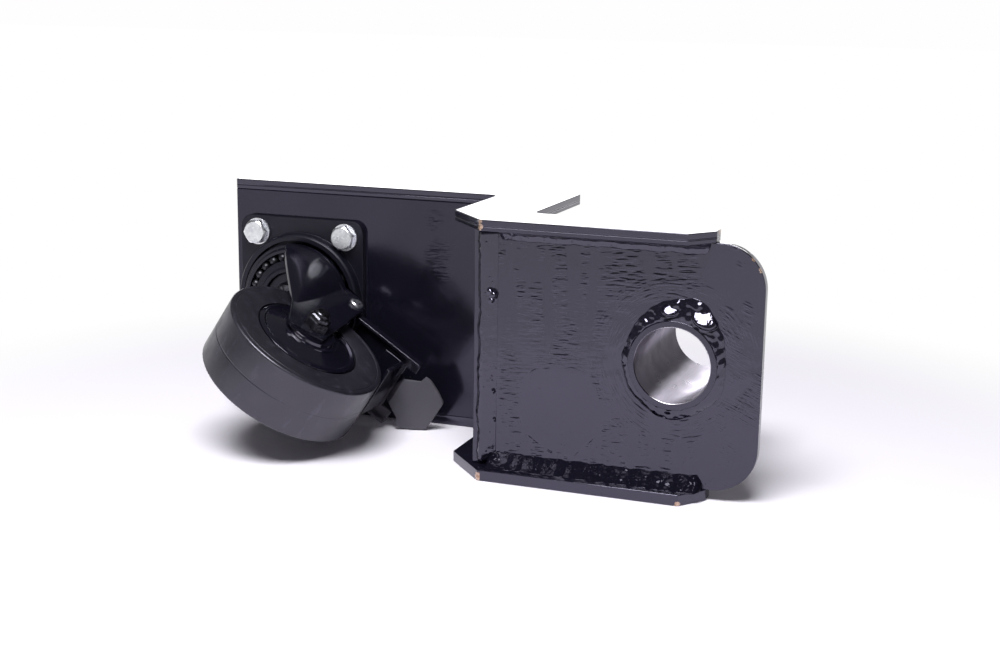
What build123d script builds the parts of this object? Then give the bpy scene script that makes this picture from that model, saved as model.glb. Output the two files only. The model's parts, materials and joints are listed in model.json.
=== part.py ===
"""Gate wheel: a welded offset bracket with a post sleeve, carrying a braked swivel caster.

Units are mm. +Z is up with the bracket lying on its lower side plate. The origin is the centre of the
post sleeve's bore: the bore runs along Y, the arm runs towards -X, and in use -Y points to the ground.
Depths `d` are measured along +Y from the front edges of the side plates.
Caster pieces are drawn in their own frame: local x = trailing direction t, local y = axle direction s,
local z = drop from the arm face (towards -Y), and are then placed on the arm.
"""
from build123d import *
import os
from math import cos, radians, sin, sqrt

# ---------------------------------------------------------------- bracket
PLATE = 6.35            # every bracket plate is 1/4 in stock
GAP = 139.7             # clear height between the two side plates
HALF = GAP / 2
SLEEVE_OD = 50.8        # post sleeve, 2 in tube
SLEEVE_BORE = 43.2      # slips over a 42.2 mm (1-1/4 in nominal) gate pipe
SLEEVE_LEN = 95.25
SLEEVE_PROUD = 3.2      # sleeve end ahead of the bush plate's face
SLEEVE_FIT = 0.2        # radial gap of the sleeve in the bush plate
BUSH_FACE = 15.9        # depth of the bush plate's front face
BUSH_RIGHT = 49.4       # bush plate's free edge, from the sleeve axis
BUSH_CORNER = 25.4
STRIP_DEPTH = 38.1      # side plates: depth of the front strip
ARM_FACE = 101.6        # depth of the arm face, flush with the arm strips' front edges
ARM_DEPTH = 25.4        # side plates: depth of the arm strip
ARM_LEFT = -322.2       # end of the arm, from the sleeve axis
NOSE_RIGHT = 21.5       # right end of the front strip, from the sleeve axis
NOSE_CHAMFER, NOSE_CUT = 15.8, 12.1     # front corner cut off the nose: depth and length
NOSE_END, TAIL_CUT = 25.0, 9.5          # where the end face stops, and the rear corner's cut
TAB_LEFT, TAB_WIDTH = -136.7, 45.6      # the upright tab between strip and arm
TAB_CHAMFER, TAB_CUT = 30.0, 26.8       # corner cut off the tab: depth and length
ELBOW_RADIUS = 6.0      # radius in the corner between arm strip and tab
WEB_INSET = 25.5        # from the tab's left edge to the riser web's right face
WEB_FRONT = 12.7        # depth of the riser web's front edge
WELD_LEG = 7.0          # leg of the straight fillet welds
WELD_STOP = 6.0         # the straight welds end this far short of the nose
RING_WELD, RING_TOE, RING_CROWN = 8.5, 0.6, 3.0     # sleeve weld: leg, drop below the sleeve end, top width
WELD_AIR = 0.05         # drawn gap between a curved weld and the tube it holds

WEB_RIGHT = TAB_LEFT + WEB_INSET
TAB_RIGHT = TAB_LEFT + TAB_WIDTH
SLEEVE_FRONT = BUSH_FACE - SLEEVE_PROUD
FRONT_Y = -(SLEEVE_FRONT + SLEEVE_LEN / 2)      # y of the side plates' front edges

# ---------------------------------------------------------------- swivel head
AIR = 0.05              # running gap of balls in their races and of pins in their holes
SEAT_AIR = 0.05         # radial gap drawn between parts that are pressed or screwed together
SWIVEL_INSET = 49.5     # from the end of the arm to the swivel axis, which is at mid height
TURN = -33.1            # caster heading: trailing direction below +X, degrees
TOP_T, TOP_CORNER = 4.0, 8.0
CROWN_TOP, CROWN_T, CROWN_R = 10.2, 3.5, 37.5   # fork crown: drop of its top, thickness, rim radius
BALL_D, BALL_N, RACE_INSET = 8.0, 18, 4.5       # upper balls run this far inside the crown's rim
COLLAR_INSET, COLLAR_T, COLLAR_LOW = 2.5, 2.75, 1.8
LOW_BALL_D, LOW_BALL_N, LOW_BALL_LOW = 5.5, 26, 1.5     # lower balls, their centres below the crown
CROWN_LAP = 1.4         # the crown covers the lower balls by this much past their centres
LIP_GAP, LIP_T, LIP_DROP, LIP_FLARE = 1.7, 4.0, 10.8, 0.6     # the top plate's drawn lip round the crown
KINGPIN_R, KINGPIN_SHOULDER = 8.0, 14.0
RACE_UP, RACE_DOWN, RACE_FLANGE = 2.2, 4.3, 0.8         # lower race above and below its balls' centres
RACE_LIP_IN, RACE_LIP_T, RACE_SINK = 4.1, 3.0, 2.5      # its raised ring, and the nut's seat inside that
KINGPIN_AF, KINGPIN_NUT = 24.0, 6.5

SWIVEL_X = ARM_LEFT + SWIVEL_INSET
BALL_PITCH, BALL_DROP = CROWN_R - RACE_INSET, (TOP_T + CROWN_TOP) / 2
COLLAR_R = CROWN_R - COLLAR_INSET
COLLAR_BORE = COLLAR_R - COLLAR_T
LOW_BALL_PITCH = COLLAR_BORE - LOW_BALL_D / 2 - 2 * AIR
LOW_BALL_DROP = CROWN_TOP + CROWN_T + LOW_BALL_LOW
COLLAR_DROP = LOW_BALL_DROP + COLLAR_LOW
RACE_TOP, RACE_DROP = LOW_BALL_DROP - RACE_UP, LOW_BALL_DROP + RACE_DOWN
RACE_SEAT = LOW_BALL_PITCH - LOW_BALL_D / 2 - AIR
NUT_DROP = RACE_DROP - RACE_SINK
LIP_BORE = CROWN_R + LIP_GAP
LIP_R = LIP_BORE + LIP_T + LIP_FLARE

# ---------------------------------------------------------------- mounting bolts, also the axle
BOLT_D, BOLT_HOLE = 9.525, 10.3     # 3/8 in
HEX_AF, HEAD_H, NUT_H = 14.3, 6.2, 8.3
FLANGE_D, FLANGE_H = 17.6, 1.2      # round flange under the heads of the plate's bolts
HEX_CHAMFER = 1.1
WASHER_D, WASHER_T = 22.0, 1.8
BOLT_END = 2.5                      # thread left past a nut
BOLT_Z = 85.7                       # bolt spacing up the top plate
BOLT_ROOM = 9.53                    # from the lip's outer edge to the bolts' centres
BOLT_TURNS = (17, 3, 40, 14)        # how far each hexagon head stands turned, degrees
EDGE_X, EDGE_Z = 12.7, 10.65        # from the bolts' centres to the plate's edges

BOLT_X = 2 * sqrt((LIP_R + BOLT_ROOM) ** 2 - (BOLT_Z / 2) ** 2)
TOP_W, TOP_H = BOLT_X + 2 * EDGE_X, BOLT_Z + 2 * EDGE_Z

# ---------------------------------------------------------------- wheel
TRAIL = 41.4            # axle behind the swivel axis
WHEEL_R, WHEEL_W, TYRE_EDGE, TREAD_T = 51.5, 39.0, 3.0, 18.0
HEAD_ROOM = 32.1        # from the arm face to the top of the wheel
BUSH_WALL, ROLLER_ROOM, ROLLER_N, ROLLER_END = 3.25, 4.7, 12, 1.0
BOSS_WALL, BOSS_GAP = 4.3, 3.5      # wheel boss: wall, and gap to each thread guard
CORE_INSET, CORE_WEB, CORE_RIM = 1.5, 7.0, 4.0
LEG_T, LEG_ROOM = 3.0, 6.5          # leg thickness, and wheel face to the leg's inner face
GUARD_T, GUARD_AIR, GUARD_INSET = 1.2, 0.6, 1.0
GUARD_LIP, GUARD_PAN = 2.2, 6.5     # thread guard: its lip and its flat, in from the rim
CLAMP_AIR = 0.02        # drawn gap between pieces clamped on the axle

AXLE_DROP = WHEEL_R + HEAD_ROOM     # axle below the arm face
LEG_OUT = WHEEL_W / 2 + LEG_ROOM + LEG_T
TYRE_BORE = WHEEL_R - TREAD_T
BUSH_R = BOLT_D / 2 + BUSH_WALL
CORE_BORE = BUSH_R + ROLLER_ROOM
BOSS_R = CORE_BORE + BOSS_WALL
GUARD_R = TYRE_BORE - GUARD_INSET
GUARD_IN = LEG_OUT - LEG_T - GUARD_T - CLAMP_AIR
BOSS_HALF = GUARD_IN - BOSS_GAP

# ---------------------------------------------------------------- fork legs and brake
SHOULDER_LEAD = -24.0               # leading edge of the shoulder at the crown
SHOULDER_END = 10.0                 # the shoulder runs out this far above the axle
LEAD_LOW, CREASE_LOW, BACK_LOW = -24.4, -20.4, 8.9      # lead, crease and back edge there, from the axle
# Levels of the shoulder: share of the way down, share of the lead's and of the crease's way, and how far
# the leading edge and the middle stand proud of the leg's outer face.
SHOULDER_LEVELS = ((0.455, 0.293, 0.06, 4.0, 5.6), (0.743, 0.659, 0.42, 2.2, 2.8),
                   (1.0, 1.0, 1.0, 0.1, 0.25))
TIP_BACK, TIP_FRONT = (11.6, 9.0), (-11.0, 16.3)        # blade corners from the axle: t and drop
TIP_RADIUS = 3.0
PIN_BEHIND, PIN_BELOW, PIN_R = 1.0, 5.1, 3.0    # brake pin behind the crown's rim and below the collar
PIN_HEAD_R, PIN_HEAD_T, PIN_CHAMFER = 4.6, 1.8, 0.8
BACK_TOP, EAR_BACK, EAR_UP = 4.9, 2.0, 5.2      # blade's back edge and its cut corner, from the pin
LEVER_T, LEVER_GAP, LEVER_EYE = 2.0, 1.5, 6.5
FLANGE_BELOW, WEB_RECESS = 3.5, 4.6     # flanges' free edge below the pin, and the web's depth inside it
WEB_BEHIND = 8.5                    # the web starts this far behind the pin
SHOE_ANGLE, SHOE_GAP = 42.1, 5.9    # pressing edge: direction from the axle above t, gap to the tread
SHOE_W, SHOE_T, SHOE_LEAN, SHOE_SEAT = 36.0, 2.5, 3.0, 15.5
LEVER_PAST = 9.0                    # the flanges end this far behind the shoe
SLOT_BEHIND, SLOT_HALF = 1.5, 16.0      # slots beside the pedal's neck: start behind the shoe, outer side
PEDAL_STEP, PEDAL_DIP = 4.0, 4.3    # the neck steps down from the web: over this length, by this depth
PEDAL_BOW, PEDAL_RISE = (12.5, 1.9), 6.5    # rise of the pedal's bow from the neck, and of its tip
PEDAL_REACH, PEDAL_W, PEDAL_NECK = 25.0, 40.0, (20.0, 31.0)     # neck: width at the step and at the pedal
PEDAL_SHOULDER, PEDAL_SIDE, PEDAL_CLIP, PEDAL_NOSE = 6.0, 4.5, (6.3, 4.4), 9.0
SPRING_WIRE, SPRING_FIT, SPRING_TURNS, SPRING_GAP = 1.6, 0.8, 5, 0.3

PIN_T, PIN_DROP = CROWN_R + PIN_BEHIND, COLLAR_DROP + PIN_BELOW
BACK_T = PIN_T + BACK_TOP
LEVER_OUT = LEG_OUT - LEG_T - LEVER_GAP
FLANGE_DROP = PIN_DROP + FLANGE_BELOW
WEB_DROP = FLANGE_DROP - WEB_RECESS
SHOE_TIP = TRAIL + (WHEEL_R + SHOE_GAP) * cos(radians(SHOE_ANGLE))
SHOE_DROP = AXLE_DROP - (WHEEL_R + SHOE_GAP) * sin(radians(SHOE_ANGLE))
SHOE_BACK = SHOE_TIP + SHOE_LEAN
LEVER_END = SHOE_BACK + LEVER_PAST
PEDAL_TIP = LEVER_END + PEDAL_REACH


def flat(points, z0, height):
    """A plate: outline points (x, depth) raised from z0 by height."""
    face = make_face(Polyline([(x, d + FRONT_Y) for x, d in points], close=True))
    return Pos(0, 0, z0) * extrude(face, height)


def plate_y(shape_xz, depth, thickness):
    """An x-z sketch, drawn on the XY plane, stood up at a depth and thickened away from the viewer."""
    solid = extrude(shape_xz, thickness)
    return Pos(0, depth + FRONT_Y + thickness, 0) * Rot(X=90) * solid


def side_plate(z0):
    """One laser-cut Z-shaped side plate."""
    outline = [(TAB_LEFT + TAB_CUT, 0), (NOSE_RIGHT - NOSE_CUT, 0), (NOSE_RIGHT, NOSE_CHAMFER),
               (NOSE_RIGHT, NOSE_END), (NOSE_RIGHT - TAIL_CUT, STRIP_DEPTH),
               (TAB_RIGHT, STRIP_DEPTH), (TAB_RIGHT, ARM_FACE + ARM_DEPTH),
               (ARM_LEFT, ARM_FACE + ARM_DEPTH), (ARM_LEFT, ARM_FACE), (TAB_LEFT, ARM_FACE),
               (TAB_LEFT, TAB_CHAMFER)]
    plate = flat(outline, z0, PLATE)
    corners = [(TAB_LEFT, ARM_FACE), (TAB_RIGHT, STRIP_DEPTH)]
    def inner(edge):
        at = edge.center()
        return any(abs(at.X - x) < 0.1 and abs(at.Y - d - FRONT_Y) < 0.1 for x, d in corners)
    return fillet([edge for edge in plate.edges().filter_by(Axis.Z) if inner(edge)], ELBOW_RADIUS)


def arm_plate():
    """The arm's web, drilled for the caster bolts."""
    width = WEB_RIGHT - ARM_LEFT
    sketch = Pos((WEB_RIGHT + ARM_LEFT) / 2, 0) * Rectangle(width, GAP)
    for x, z in bolt_places():
        sketch -= Pos(x, z) * Circle(BOLT_HOLE / 2)
    return plate_y(sketch, ARM_FACE, PLATE)


def bolt_places():
    """Centres (x, z) of the four caster bolts."""
    return [(SWIVEL_X + i * BOLT_X / 2, k * BOLT_Z / 2) for i in (-1, 1) for k in (-1, 1)]


def riser_web():
    """The upright web between bush plate and arm plate."""
    outline = [(WEB_RIGHT - PLATE, WEB_FRONT), (WEB_RIGHT, WEB_FRONT),
               (WEB_RIGHT, ARM_FACE), (WEB_RIGHT - PLATE, ARM_FACE)]
    return flat(outline, -HALF, GAP)


def bush_plate():
    """The plate that carries the post sleeve."""
    width = BUSH_RIGHT - WEB_RIGHT
    sketch = Pos((BUSH_RIGHT + WEB_RIGHT) / 2, 0) * Rectangle(width, GAP)
    sketch = fillet(sketch.vertices().group_by(Axis.X)[-1], BUSH_CORNER)
    sketch -= Circle(SLEEVE_OD / 2 + SLEEVE_FIT)
    return plate_y(sketch, BUSH_FACE, PLATE)


def post_sleeve():
    """The tube that slips over the gate's pipe."""
    return plate_y(Circle(SLEEVE_OD / 2) - Circle(SLEEVE_BORE / 2), SLEEVE_FRONT, SLEEVE_LEN)


def sleeve_weld():
    """The fillet weld round the sleeve, on the bush plate's front face."""
    inner = SLEEVE_OD / 2 + WELD_AIR
    top = SLEEVE_PROUD - RING_TOE
    profile = Polyline([(inner, 0), (inner, top), (inner + RING_CROWN, top), (inner + RING_WELD, 0)],
                       close=True)
    ring = revolve(Plane.XZ * make_face(profile), Axis.Z)
    return Pos(0, BUSH_FACE + FRONT_Y, 0) * Rot(X=90) * ring


def plate_weld(side):
    """The fillet weld between the bush plate's face and one side plate; side is 1 for the upper one."""
    d, z = BUSH_FACE + FRONT_Y, side * HALF
    start, end = WEB_RIGHT + WELD_LEG, NOSE_RIGHT - WELD_STOP
    profile = Polyline([(d, z), (d - WELD_LEG, z), (d, z - side * WELD_LEG)], close=True)
    return Pos(start, 0, 0) * extrude(Plane.YZ * make_face(profile), end - start)


def riser_weld():
    """The upright fillet weld where the bush plate meets the riser web."""
    outline = [(WEB_RIGHT, BUSH_FACE), (WEB_RIGHT, WEB_FRONT), (WEB_RIGHT + WELD_LEG, BUSH_FACE)]
    return flat(outline, -HALF, GAP)


# ---------------------------------------------------------------- caster frame
def on_arm(shape, heading=0.0):
    """Place a caster piece: drop along -Y, trailing direction turned by heading in the X-Z plane."""
    return Pos(SWIVEL_X, ARM_FACE + FRONT_Y, 0) * Rot(X=90) * Rot(Z=heading) * shape


def spun(points):
    """A solid of revolution about the swivel axis from (radius, drop) points."""
    return revolve(Plane.XZ * make_face(Polyline(points, close=True)), Axis.Z)


def swivel(shape):
    """Place a piece of the swivelling group at its heading."""
    return on_arm(shape, TURN)


def on_axle(shape):
    """Turn a piece drawn along local z onto the axle, z becoming the axle direction s."""
    return Pos(TRAIL, 0, AXLE_DROP) * Rot(X=-90) * shape


def hexagon(af, height):
    """A hexagonal prism standing on z = 0, two corners along x."""
    return extrude(RegularPolygon(af / 2, 6, major_radius=False), height)


def ball_ring(diameter, pitch, count, drop):
    """Balls spread evenly round the swivel axis, as separate solids."""
    balls = [Rot(Z=360 * i / count) * Pos(pitch, 0, drop) * Sphere(diameter / 2) for i in range(count)]
    return Compound(children=balls)


def groove(pitch, drop, diameter):
    """The race cut by a ring of balls, with its running gap."""
    return Pos(0, 0, drop) * Torus(pitch, diameter / 2 + AIR)


def top_plate():
    """The caster's mounting plate with its drawn upper race."""
    sketch = RectangleRounded(TOP_W, TOP_H, TOP_CORNER) - Circle(KINGPIN_R + SEAT_AIR)
    for x, z in bolt_places():
        sketch -= Pos(x - SWIVEL_X, z) * Circle(BOLT_HOLE / 2)
    plate = extrude(sketch, TOP_T)
    edge = LIP_R - LIP_FLARE
    lip = spun([(LIP_BORE, TOP_T / 2), (LIP_BORE, LIP_DROP), (edge - 1.0, LIP_DROP), (edge, LIP_DROP - 1.2),
                (LIP_R, TOP_T / 2)])
    return on_arm(plate + lip - groove(BALL_PITCH, BALL_DROP, BALL_D))


def kingpin():
    """The riveted kingpin: flush in the top plate, shouldered for the lower race."""
    end = NUT_DROP + KINGPIN_NUT + BOLT_END
    return on_arm(spun([(0, 0), (KINGPIN_R, 0), (KINGPIN_R, TOP_T), (KINGPIN_SHOULDER, TOP_T),
                        (KINGPIN_SHOULDER, RACE_TOP), (KINGPIN_R, RACE_TOP), (KINGPIN_R, end - 1.0),
                        (KINGPIN_R - 1.0, end), (0, end)]))


def kingpin_nut():
    """The hexagon nut that holds the lower race."""
    nut = hexagon(KINGPIN_AF, KINGPIN_NUT) - extrude(Circle(KINGPIN_R + SEAT_AIR), KINGPIN_NUT)
    return on_arm(Pos(0, 0, NUT_DROP) * nut)


def lower_race():
    """The cone that the lower balls run on, with a raised ring round the kingpin's nut."""
    bore, rim, lip = KINGPIN_R + SEAT_AIR, RACE_SEAT + RACE_FLANGE, RACE_SEAT - RACE_LIP_IN
    under = LOW_BALL_DROP + LOW_BALL_D / 2
    return on_arm(spun([(bore, RACE_TOP), (RACE_SEAT, RACE_TOP), (RACE_SEAT, under - LOW_BALL_D / 4),
                        (rim, under), (lip + 0.8, under), (lip, RACE_DROP), (lip - RACE_LIP_T, RACE_DROP),
                        (lip - RACE_LIP_T, NUT_DROP), (bore, NUT_DROP)]))


def plate_bolts():
    """The four hexagon bolts through top plate and arm plate."""
    grip = TOP_T + PLATE + WASHER_T + NUT_H + BOLT_END
    bolts = []
    for (x, z), turn in zip(bolt_places(), BOLT_TURNS):
        head = Pos(0, 0, TOP_T) * Rot(Z=turn) * hexagon(HEX_AF, HEAD_H)
        flange = Pos(0, 0, TOP_T) * extrude(Circle(FLANGE_D / 2), FLANGE_H)
        shank = Pos(0, 0, TOP_T - grip) * extrude(Circle(BOLT_D / 2), grip)
        head = (head & crown_trim(HEX_AF, TOP_T, HEAD_H)) + flange
        bolts.append(Pos(x - SWIVEL_X, z, 0) * (shank + head))
    return on_arm(Compound(children=bolts))


def crown_trim(af, base, height):
    """The turned chamfer on a hexagon's free end, as a solid to intersect with."""
    corner, end = af / sqrt(3), base + height
    return spun([(0, base), (corner, base), (corner, end - HEX_CHAMFER), (af / 2 - 0.4, end), (0, end)])


def plate_washers():
    """Washers under the four nuts, behind the arm plate."""
    ring = extrude(Circle(WASHER_D / 2) - Circle(BOLT_HOLE / 2), WASHER_T)
    base = -PLATE - WASHER_T
    return on_arm(Compound(children=[Pos(x - SWIVEL_X, z, base) * ring for x, z in bolt_places()]))


def plate_nuts():
    """The four nuts behind the arm plate."""
    nut = hexagon(HEX_AF, NUT_H) - extrude(Circle(BOLT_D / 2 + SEAT_AIR), NUT_H)
    nut = Pos(0, 0, -PLATE - WASHER_T - NUT_H) * nut
    places = zip(bolt_places(), BOLT_TURNS)
    nuts = [Pos(x - SWIVEL_X, z, 0) * Rot(Z=-turn) * nut for (x, z), turn in places]
    return on_arm(Compound(children=nuts))


# ---------------------------------------------------------------- fork
def leg_section(drop, lead, lead_out, mid_out, crease, trail):
    """One level of the near leg: a curved shoulder from the leading edge to the crease, then a flat."""
    def wall(shift):
        curve = ThreePointArc((lead, lead_out - shift), ((lead + crease) / 2, mid_out - shift),
                              (crease, LEG_OUT - shift))
        return curve, Line((crease, LEG_OUT - shift), (trail, LEG_OUT - shift))
    outer, inner = wall(0.0), wall(LEG_T)
    ends = [Line((trail, LEG_OUT), (trail, LEG_OUT - LEG_T)),
            Line((lead, lead_out - LEG_T), (lead, lead_out))]
    return Pos(0, 0, drop) * make_face([*outer, ends[0], *inner, ends[1]])


def leg():
    """The near leg of the fork, from the crown down to the axle."""
    top, end = CROWN_TOP + CROWN_T / 3, AXLE_DROP - SHOULDER_END
    lead_end, crease_end, back_end = TRAIL + LEAD_LOW, TRAIL + CREASE_LOW, TRAIL + BACK_LOW
    crease = sqrt(CROWN_R ** 2 - LEG_OUT ** 2)
    rim = sqrt(CROWN_R ** 2 - SHOULDER_LEAD ** 2)
    faces = [leg_section(top, SHOULDER_LEAD, rim, CROWN_R, crease, BACK_T)]
    for down, lead_way, crease_way, lead_proud, mid_proud in SHOULDER_LEVELS:
        lead = SHOULDER_LEAD + lead_way * (lead_end - SHOULDER_LEAD)
        fold = crease + crease_way * (crease_end - crease)
        faces.append(leg_section(top + down * (end - top), lead, LEG_OUT + lead_proud, LEG_OUT + mid_proud,
                                 fold, BACK_T + down * (back_end - BACK_T)))
    corners = [(lead_end, end), (back_end, end), (TRAIL + TIP_BACK[0], AXLE_DROP + TIP_BACK[1]),
               (TRAIL + TIP_FRONT[0], AXLE_DROP + TIP_FRONT[1])]
    blade = make_face(Polyline(corners, close=True))
    blade = fillet(blade.vertices().sort_by(Axis.Y)[-2:], TIP_RADIUS)
    blade = Pos(0, LEG_OUT, 0) * Rot(X=90) * extrude(blade, LEG_T)
    corner = Box(BACK_T, 4 * LEG_T, 2 * (PIN_DROP - EAR_UP), align=(Align.MIN, Align.CENTER, Align.CENTER))
    return loft(faces, ruled=True) + blade - Pos(PIN_T - EAR_BACK, LEG_OUT, 0) * corner


def fork():
    """The pressed fork: crown with its collar, and two legs."""
    hole, seat = LOW_BALL_PITCH - CROWN_LAP, LOW_BALL_DROP - LOW_BALL_D / 2 - AIR
    crown = spun([(hole, CROWN_TOP), (CROWN_R, CROWN_TOP), (CROWN_R, CROWN_TOP + CROWN_T),
                  (COLLAR_R, CROWN_TOP + CROWN_T), (COLLAR_R, COLLAR_DROP), (COLLAR_BORE, COLLAR_DROP),
                  (COLLAR_BORE, seat), (hole, seat)])
    near = leg()
    body = crown + near + mirror(near, Plane.XZ)
    body -= groove(BALL_PITCH, BALL_DROP, BALL_D)
    for t, drop, r in ((TRAIL, AXLE_DROP, BOLT_D / 2), (PIN_T, PIN_DROP, PIN_R)):
        body -= Pos(t, LEG_OUT, drop) * Rot(X=90) * extrude(Circle(r + AIR), 2 * LEG_OUT)
    return swivel(body)


def axle_bolt():
    """The hexagon bolt that is the axle; its head is on the far leg."""
    start, end = -LEG_OUT, LEG_OUT + NUT_H + BOLT_END
    shank = Pos(0, 0, start) * extrude(Circle(BOLT_D / 2), end - start)
    head = Pos(0, 0, start - HEAD_H) * hexagon(HEX_AF, HEAD_H)
    return swivel(on_axle(chamfer(shank.edges().sort_by(Axis.Z)[-1], 0.9) + head))


def axle_nut():
    """The lock nut on the near leg."""
    nut = hexagon(HEX_AF, NUT_H) & crown_trim(HEX_AF, 0, NUT_H)
    nut -= extrude(Circle(BOLT_D / 2 + SEAT_AIR), NUT_H)
    return swivel(on_axle(Pos(0, 0, LEG_OUT) * nut))


def axle_bush():
    """The clamped tube that the wheel's rollers run on."""
    length = 2 * (GUARD_IN - CLAMP_AIR)
    tube = extrude(Circle(BUSH_R) - Circle(BOLT_D / 2 + AIR), length)
    return swivel(on_axle(Pos(0, 0, -length / 2) * tube))


def thread_guards():
    """The two stepped dust covers beside the wheel, clamped between bush and legs."""
    face = WHEEL_W / 2 - CORE_INSET + GUARD_AIR
    hub, top, bore = BOSS_R, GUARD_IN + GUARD_T, BOLT_D / 2 + SEAT_AIR
    steps = [(GUARD_R, face), (GUARD_R, face + 0.9), (GUARD_R - GUARD_LIP, face + 1.9),
             (GUARD_R - GUARD_PAN, face + 2.0), (hub + 0.7, face + 4.4), (hub - 2.0, top), (bore, top),
             (bore, GUARD_IN), (hub - 2.8, GUARD_IN), (hub + 0.3, face + 3.2),
             (GUARD_R - GUARD_PAN - 0.3, face + 0.8), (GUARD_R - GUARD_LIP, face + 0.7),
             (GUARD_R - 1.2, face)]
    cover = spun(steps)
    return swivel(on_axle(Compound(children=[cover, mirror(cover, Plane.XY)])))


# ---------------------------------------------------------------- wheel
def tyre():
    """The moulded hard tread with rounded shoulders."""
    half = WHEEL_W / 2
    ring = Pos(0, 0, -half) * extrude(Circle(WHEEL_R) - Circle(TYRE_BORE), WHEEL_W)
    rim = [e for e in ring.edges().filter_by(GeomType.CIRCLE) if abs(e.radius - WHEEL_R) < 0.01]
    return swivel(on_axle(fillet(rim, TYRE_EDGE)))


def wheel_core():
    """The wheel centre: dished disc with a boss bored for the rollers."""
    rim, half = TYRE_BORE - SEAT_AIR, WHEEL_W / 2 - CORE_INSET
    upper = [(CORE_BORE, BOSS_HALF), (BOSS_R, BOSS_HALF), (BOSS_R, CORE_WEB), (rim - CORE_RIM, CORE_WEB),
             (rim - CORE_RIM, half), (rim, half)]
    return swivel(on_axle(spun(upper + [(r, -z) for r, z in upper[::-1]])))


def rollers():
    """The roller bearing between bush and wheel centre, one solid per roller."""
    reach = BOSS_HALF - ROLLER_END
    roller = Pos(0, 0, -reach) * extrude(Circle(ROLLER_ROOM / 2 - AIR), 2 * reach)
    pitch = BUSH_R + ROLLER_ROOM / 2
    ring = [Rot(Z=360 * i / ROLLER_N) * Pos(pitch, 0, 0) * roller for i in range(ROLLER_N)]
    return swivel(on_axle(Compound(children=ring)))


# ---------------------------------------------------------------- brake
def brake_lever():
    """The stamped brake lever: two side flanges, the web between them and the foot pedal."""
    eye = Pos(PIN_T, PIN_DROP) * Circle(LEVER_EYE)
    top = WEB_DROP - LEVER_T
    bar = make_face(Polyline([(PIN_T, top), (LEVER_END, top), (LEVER_END, FLANGE_DROP),
                              (PIN_T, FLANGE_DROP)], close=True))
    near = Pos(0, LEVER_OUT, 0) * Rot(X=90) * extrude(eye + bar, LEVER_T)
    start, slot = PIN_T + WEB_BEHIND, SHOE_BACK + SLOT_BEHIND
    neck, dip = slot + PEDAL_STEP, WEB_DROP + PEDAL_DIP
    web = Pos(0, LEVER_OUT, 0) * Rot(X=90) * extrude(
        make_face(Polyline([(start, top), (LEVER_END, top), (LEVER_END, WEB_DROP), (start, WEB_DROP)],
                           close=True)), 2 * LEVER_OUT)
    web -= Box(2 * (LEVER_END - slot), 2 * SLOT_HALF, 4 * WEB_DROP).moved(Location((LEVER_END, 0, 0)))
    under = [(slot - LEVER_T, WEB_DROP), (slot, WEB_DROP), (neck, dip),
             (neck + PEDAL_BOW[0], dip - PEDAL_BOW[1]), (PEDAL_TIP, dip - PEDAL_RISE)]
    sheet = make_face(Polyline(under + [(t, drop - LEVER_T) for t, drop in under[::-1]], close=True))
    pedal = Pos(0, LEVER_OUT, 0) * Rot(X=90) * extrude(sheet, 2 * LEVER_OUT)
    half, root, waist = PEDAL_W / 2, PEDAL_NECK[0] / 2, PEDAL_NECK[1] / 2
    shoulder = LEVER_END + PEDAL_SHOULDER
    edge = [(slot - LEVER_T, root), (neck, root), (shoulder, waist), (shoulder + 1, half),
            (shoulder + PEDAL_SIDE, half), (PEDAL_TIP - PEDAL_CLIP[0], half - PEDAL_CLIP[1]),
            (PEDAL_TIP, half - PEDAL_NOSE)]
    trim = extrude(make_face(Polyline([(t, -s) for t, s in edge] + edge[::-1], close=True)), 2 * dip)
    lever = near + mirror(near, Plane.XZ) + web + (pedal & trim)
    through = 2 * LEVER_OUT
    lever -= Pos(PIN_T, LEVER_OUT, PIN_DROP) * Rot(X=90) * extrude(Circle(PIN_R + AIR), through)
    return swivel(lever)


def brake_shoe():
    """The angle under the lever whose lower edge is pressed on the tread."""
    start = SHOE_BACK - SHOE_SEAT
    run = [(start, WEB_DROP), (SHOE_BACK, WEB_DROP), (SHOE_TIP + SHOE_T, SHOE_DROP + SHOE_T / 3),
           (SHOE_TIP, SHOE_DROP), (SHOE_BACK - 1.2 * SHOE_T, WEB_DROP + SHOE_T), (start, WEB_DROP + SHOE_T)]
    sheet = make_face(Polyline(run, close=True))
    return swivel(Pos(0, SHOE_W / 2, 0) * Rot(X=90) * extrude(sheet, SHOE_W))


def brake_pin():
    """The riveted pivot pin of the lever."""
    reach = LEG_OUT + CLAMP_AIR
    pin = Pos(0, 0, -reach) * extrude(Circle(PIN_R), 2 * reach)
    head = Pos(0, 0, reach) * extrude(Circle(PIN_HEAD_R), PIN_HEAD_T)
    pin = pin + chamfer(head.edges().sort_by(Axis.Z)[-1], PIN_CHAMFER)
    pin = pin + mirror(Pos(0, 0, reach) * extrude(Circle(PIN_HEAD_R), PIN_HEAD_T), Plane.XY)
    return swivel(Pos(PIN_T, 0, PIN_DROP) * Rot(X=-90) * pin)


def brake_spring():
    """The return spring: coils round the pin, drawn as rings, between the lever's flanges."""
    pitch, ring = SPRING_WIRE + SPRING_GAP, Torus(PIN_R + SPRING_FIT + SPRING_WIRE / 2, SPRING_WIRE / 2)
    coils = [Pos(0, 0, (i - (SPRING_TURNS - 1) / 2) * pitch) * ring for i in range(SPRING_TURNS)]
    return swivel(Pos(PIN_T, 0, PIN_DROP) * Rot(X=-90) * Compound(children=coils))


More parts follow.
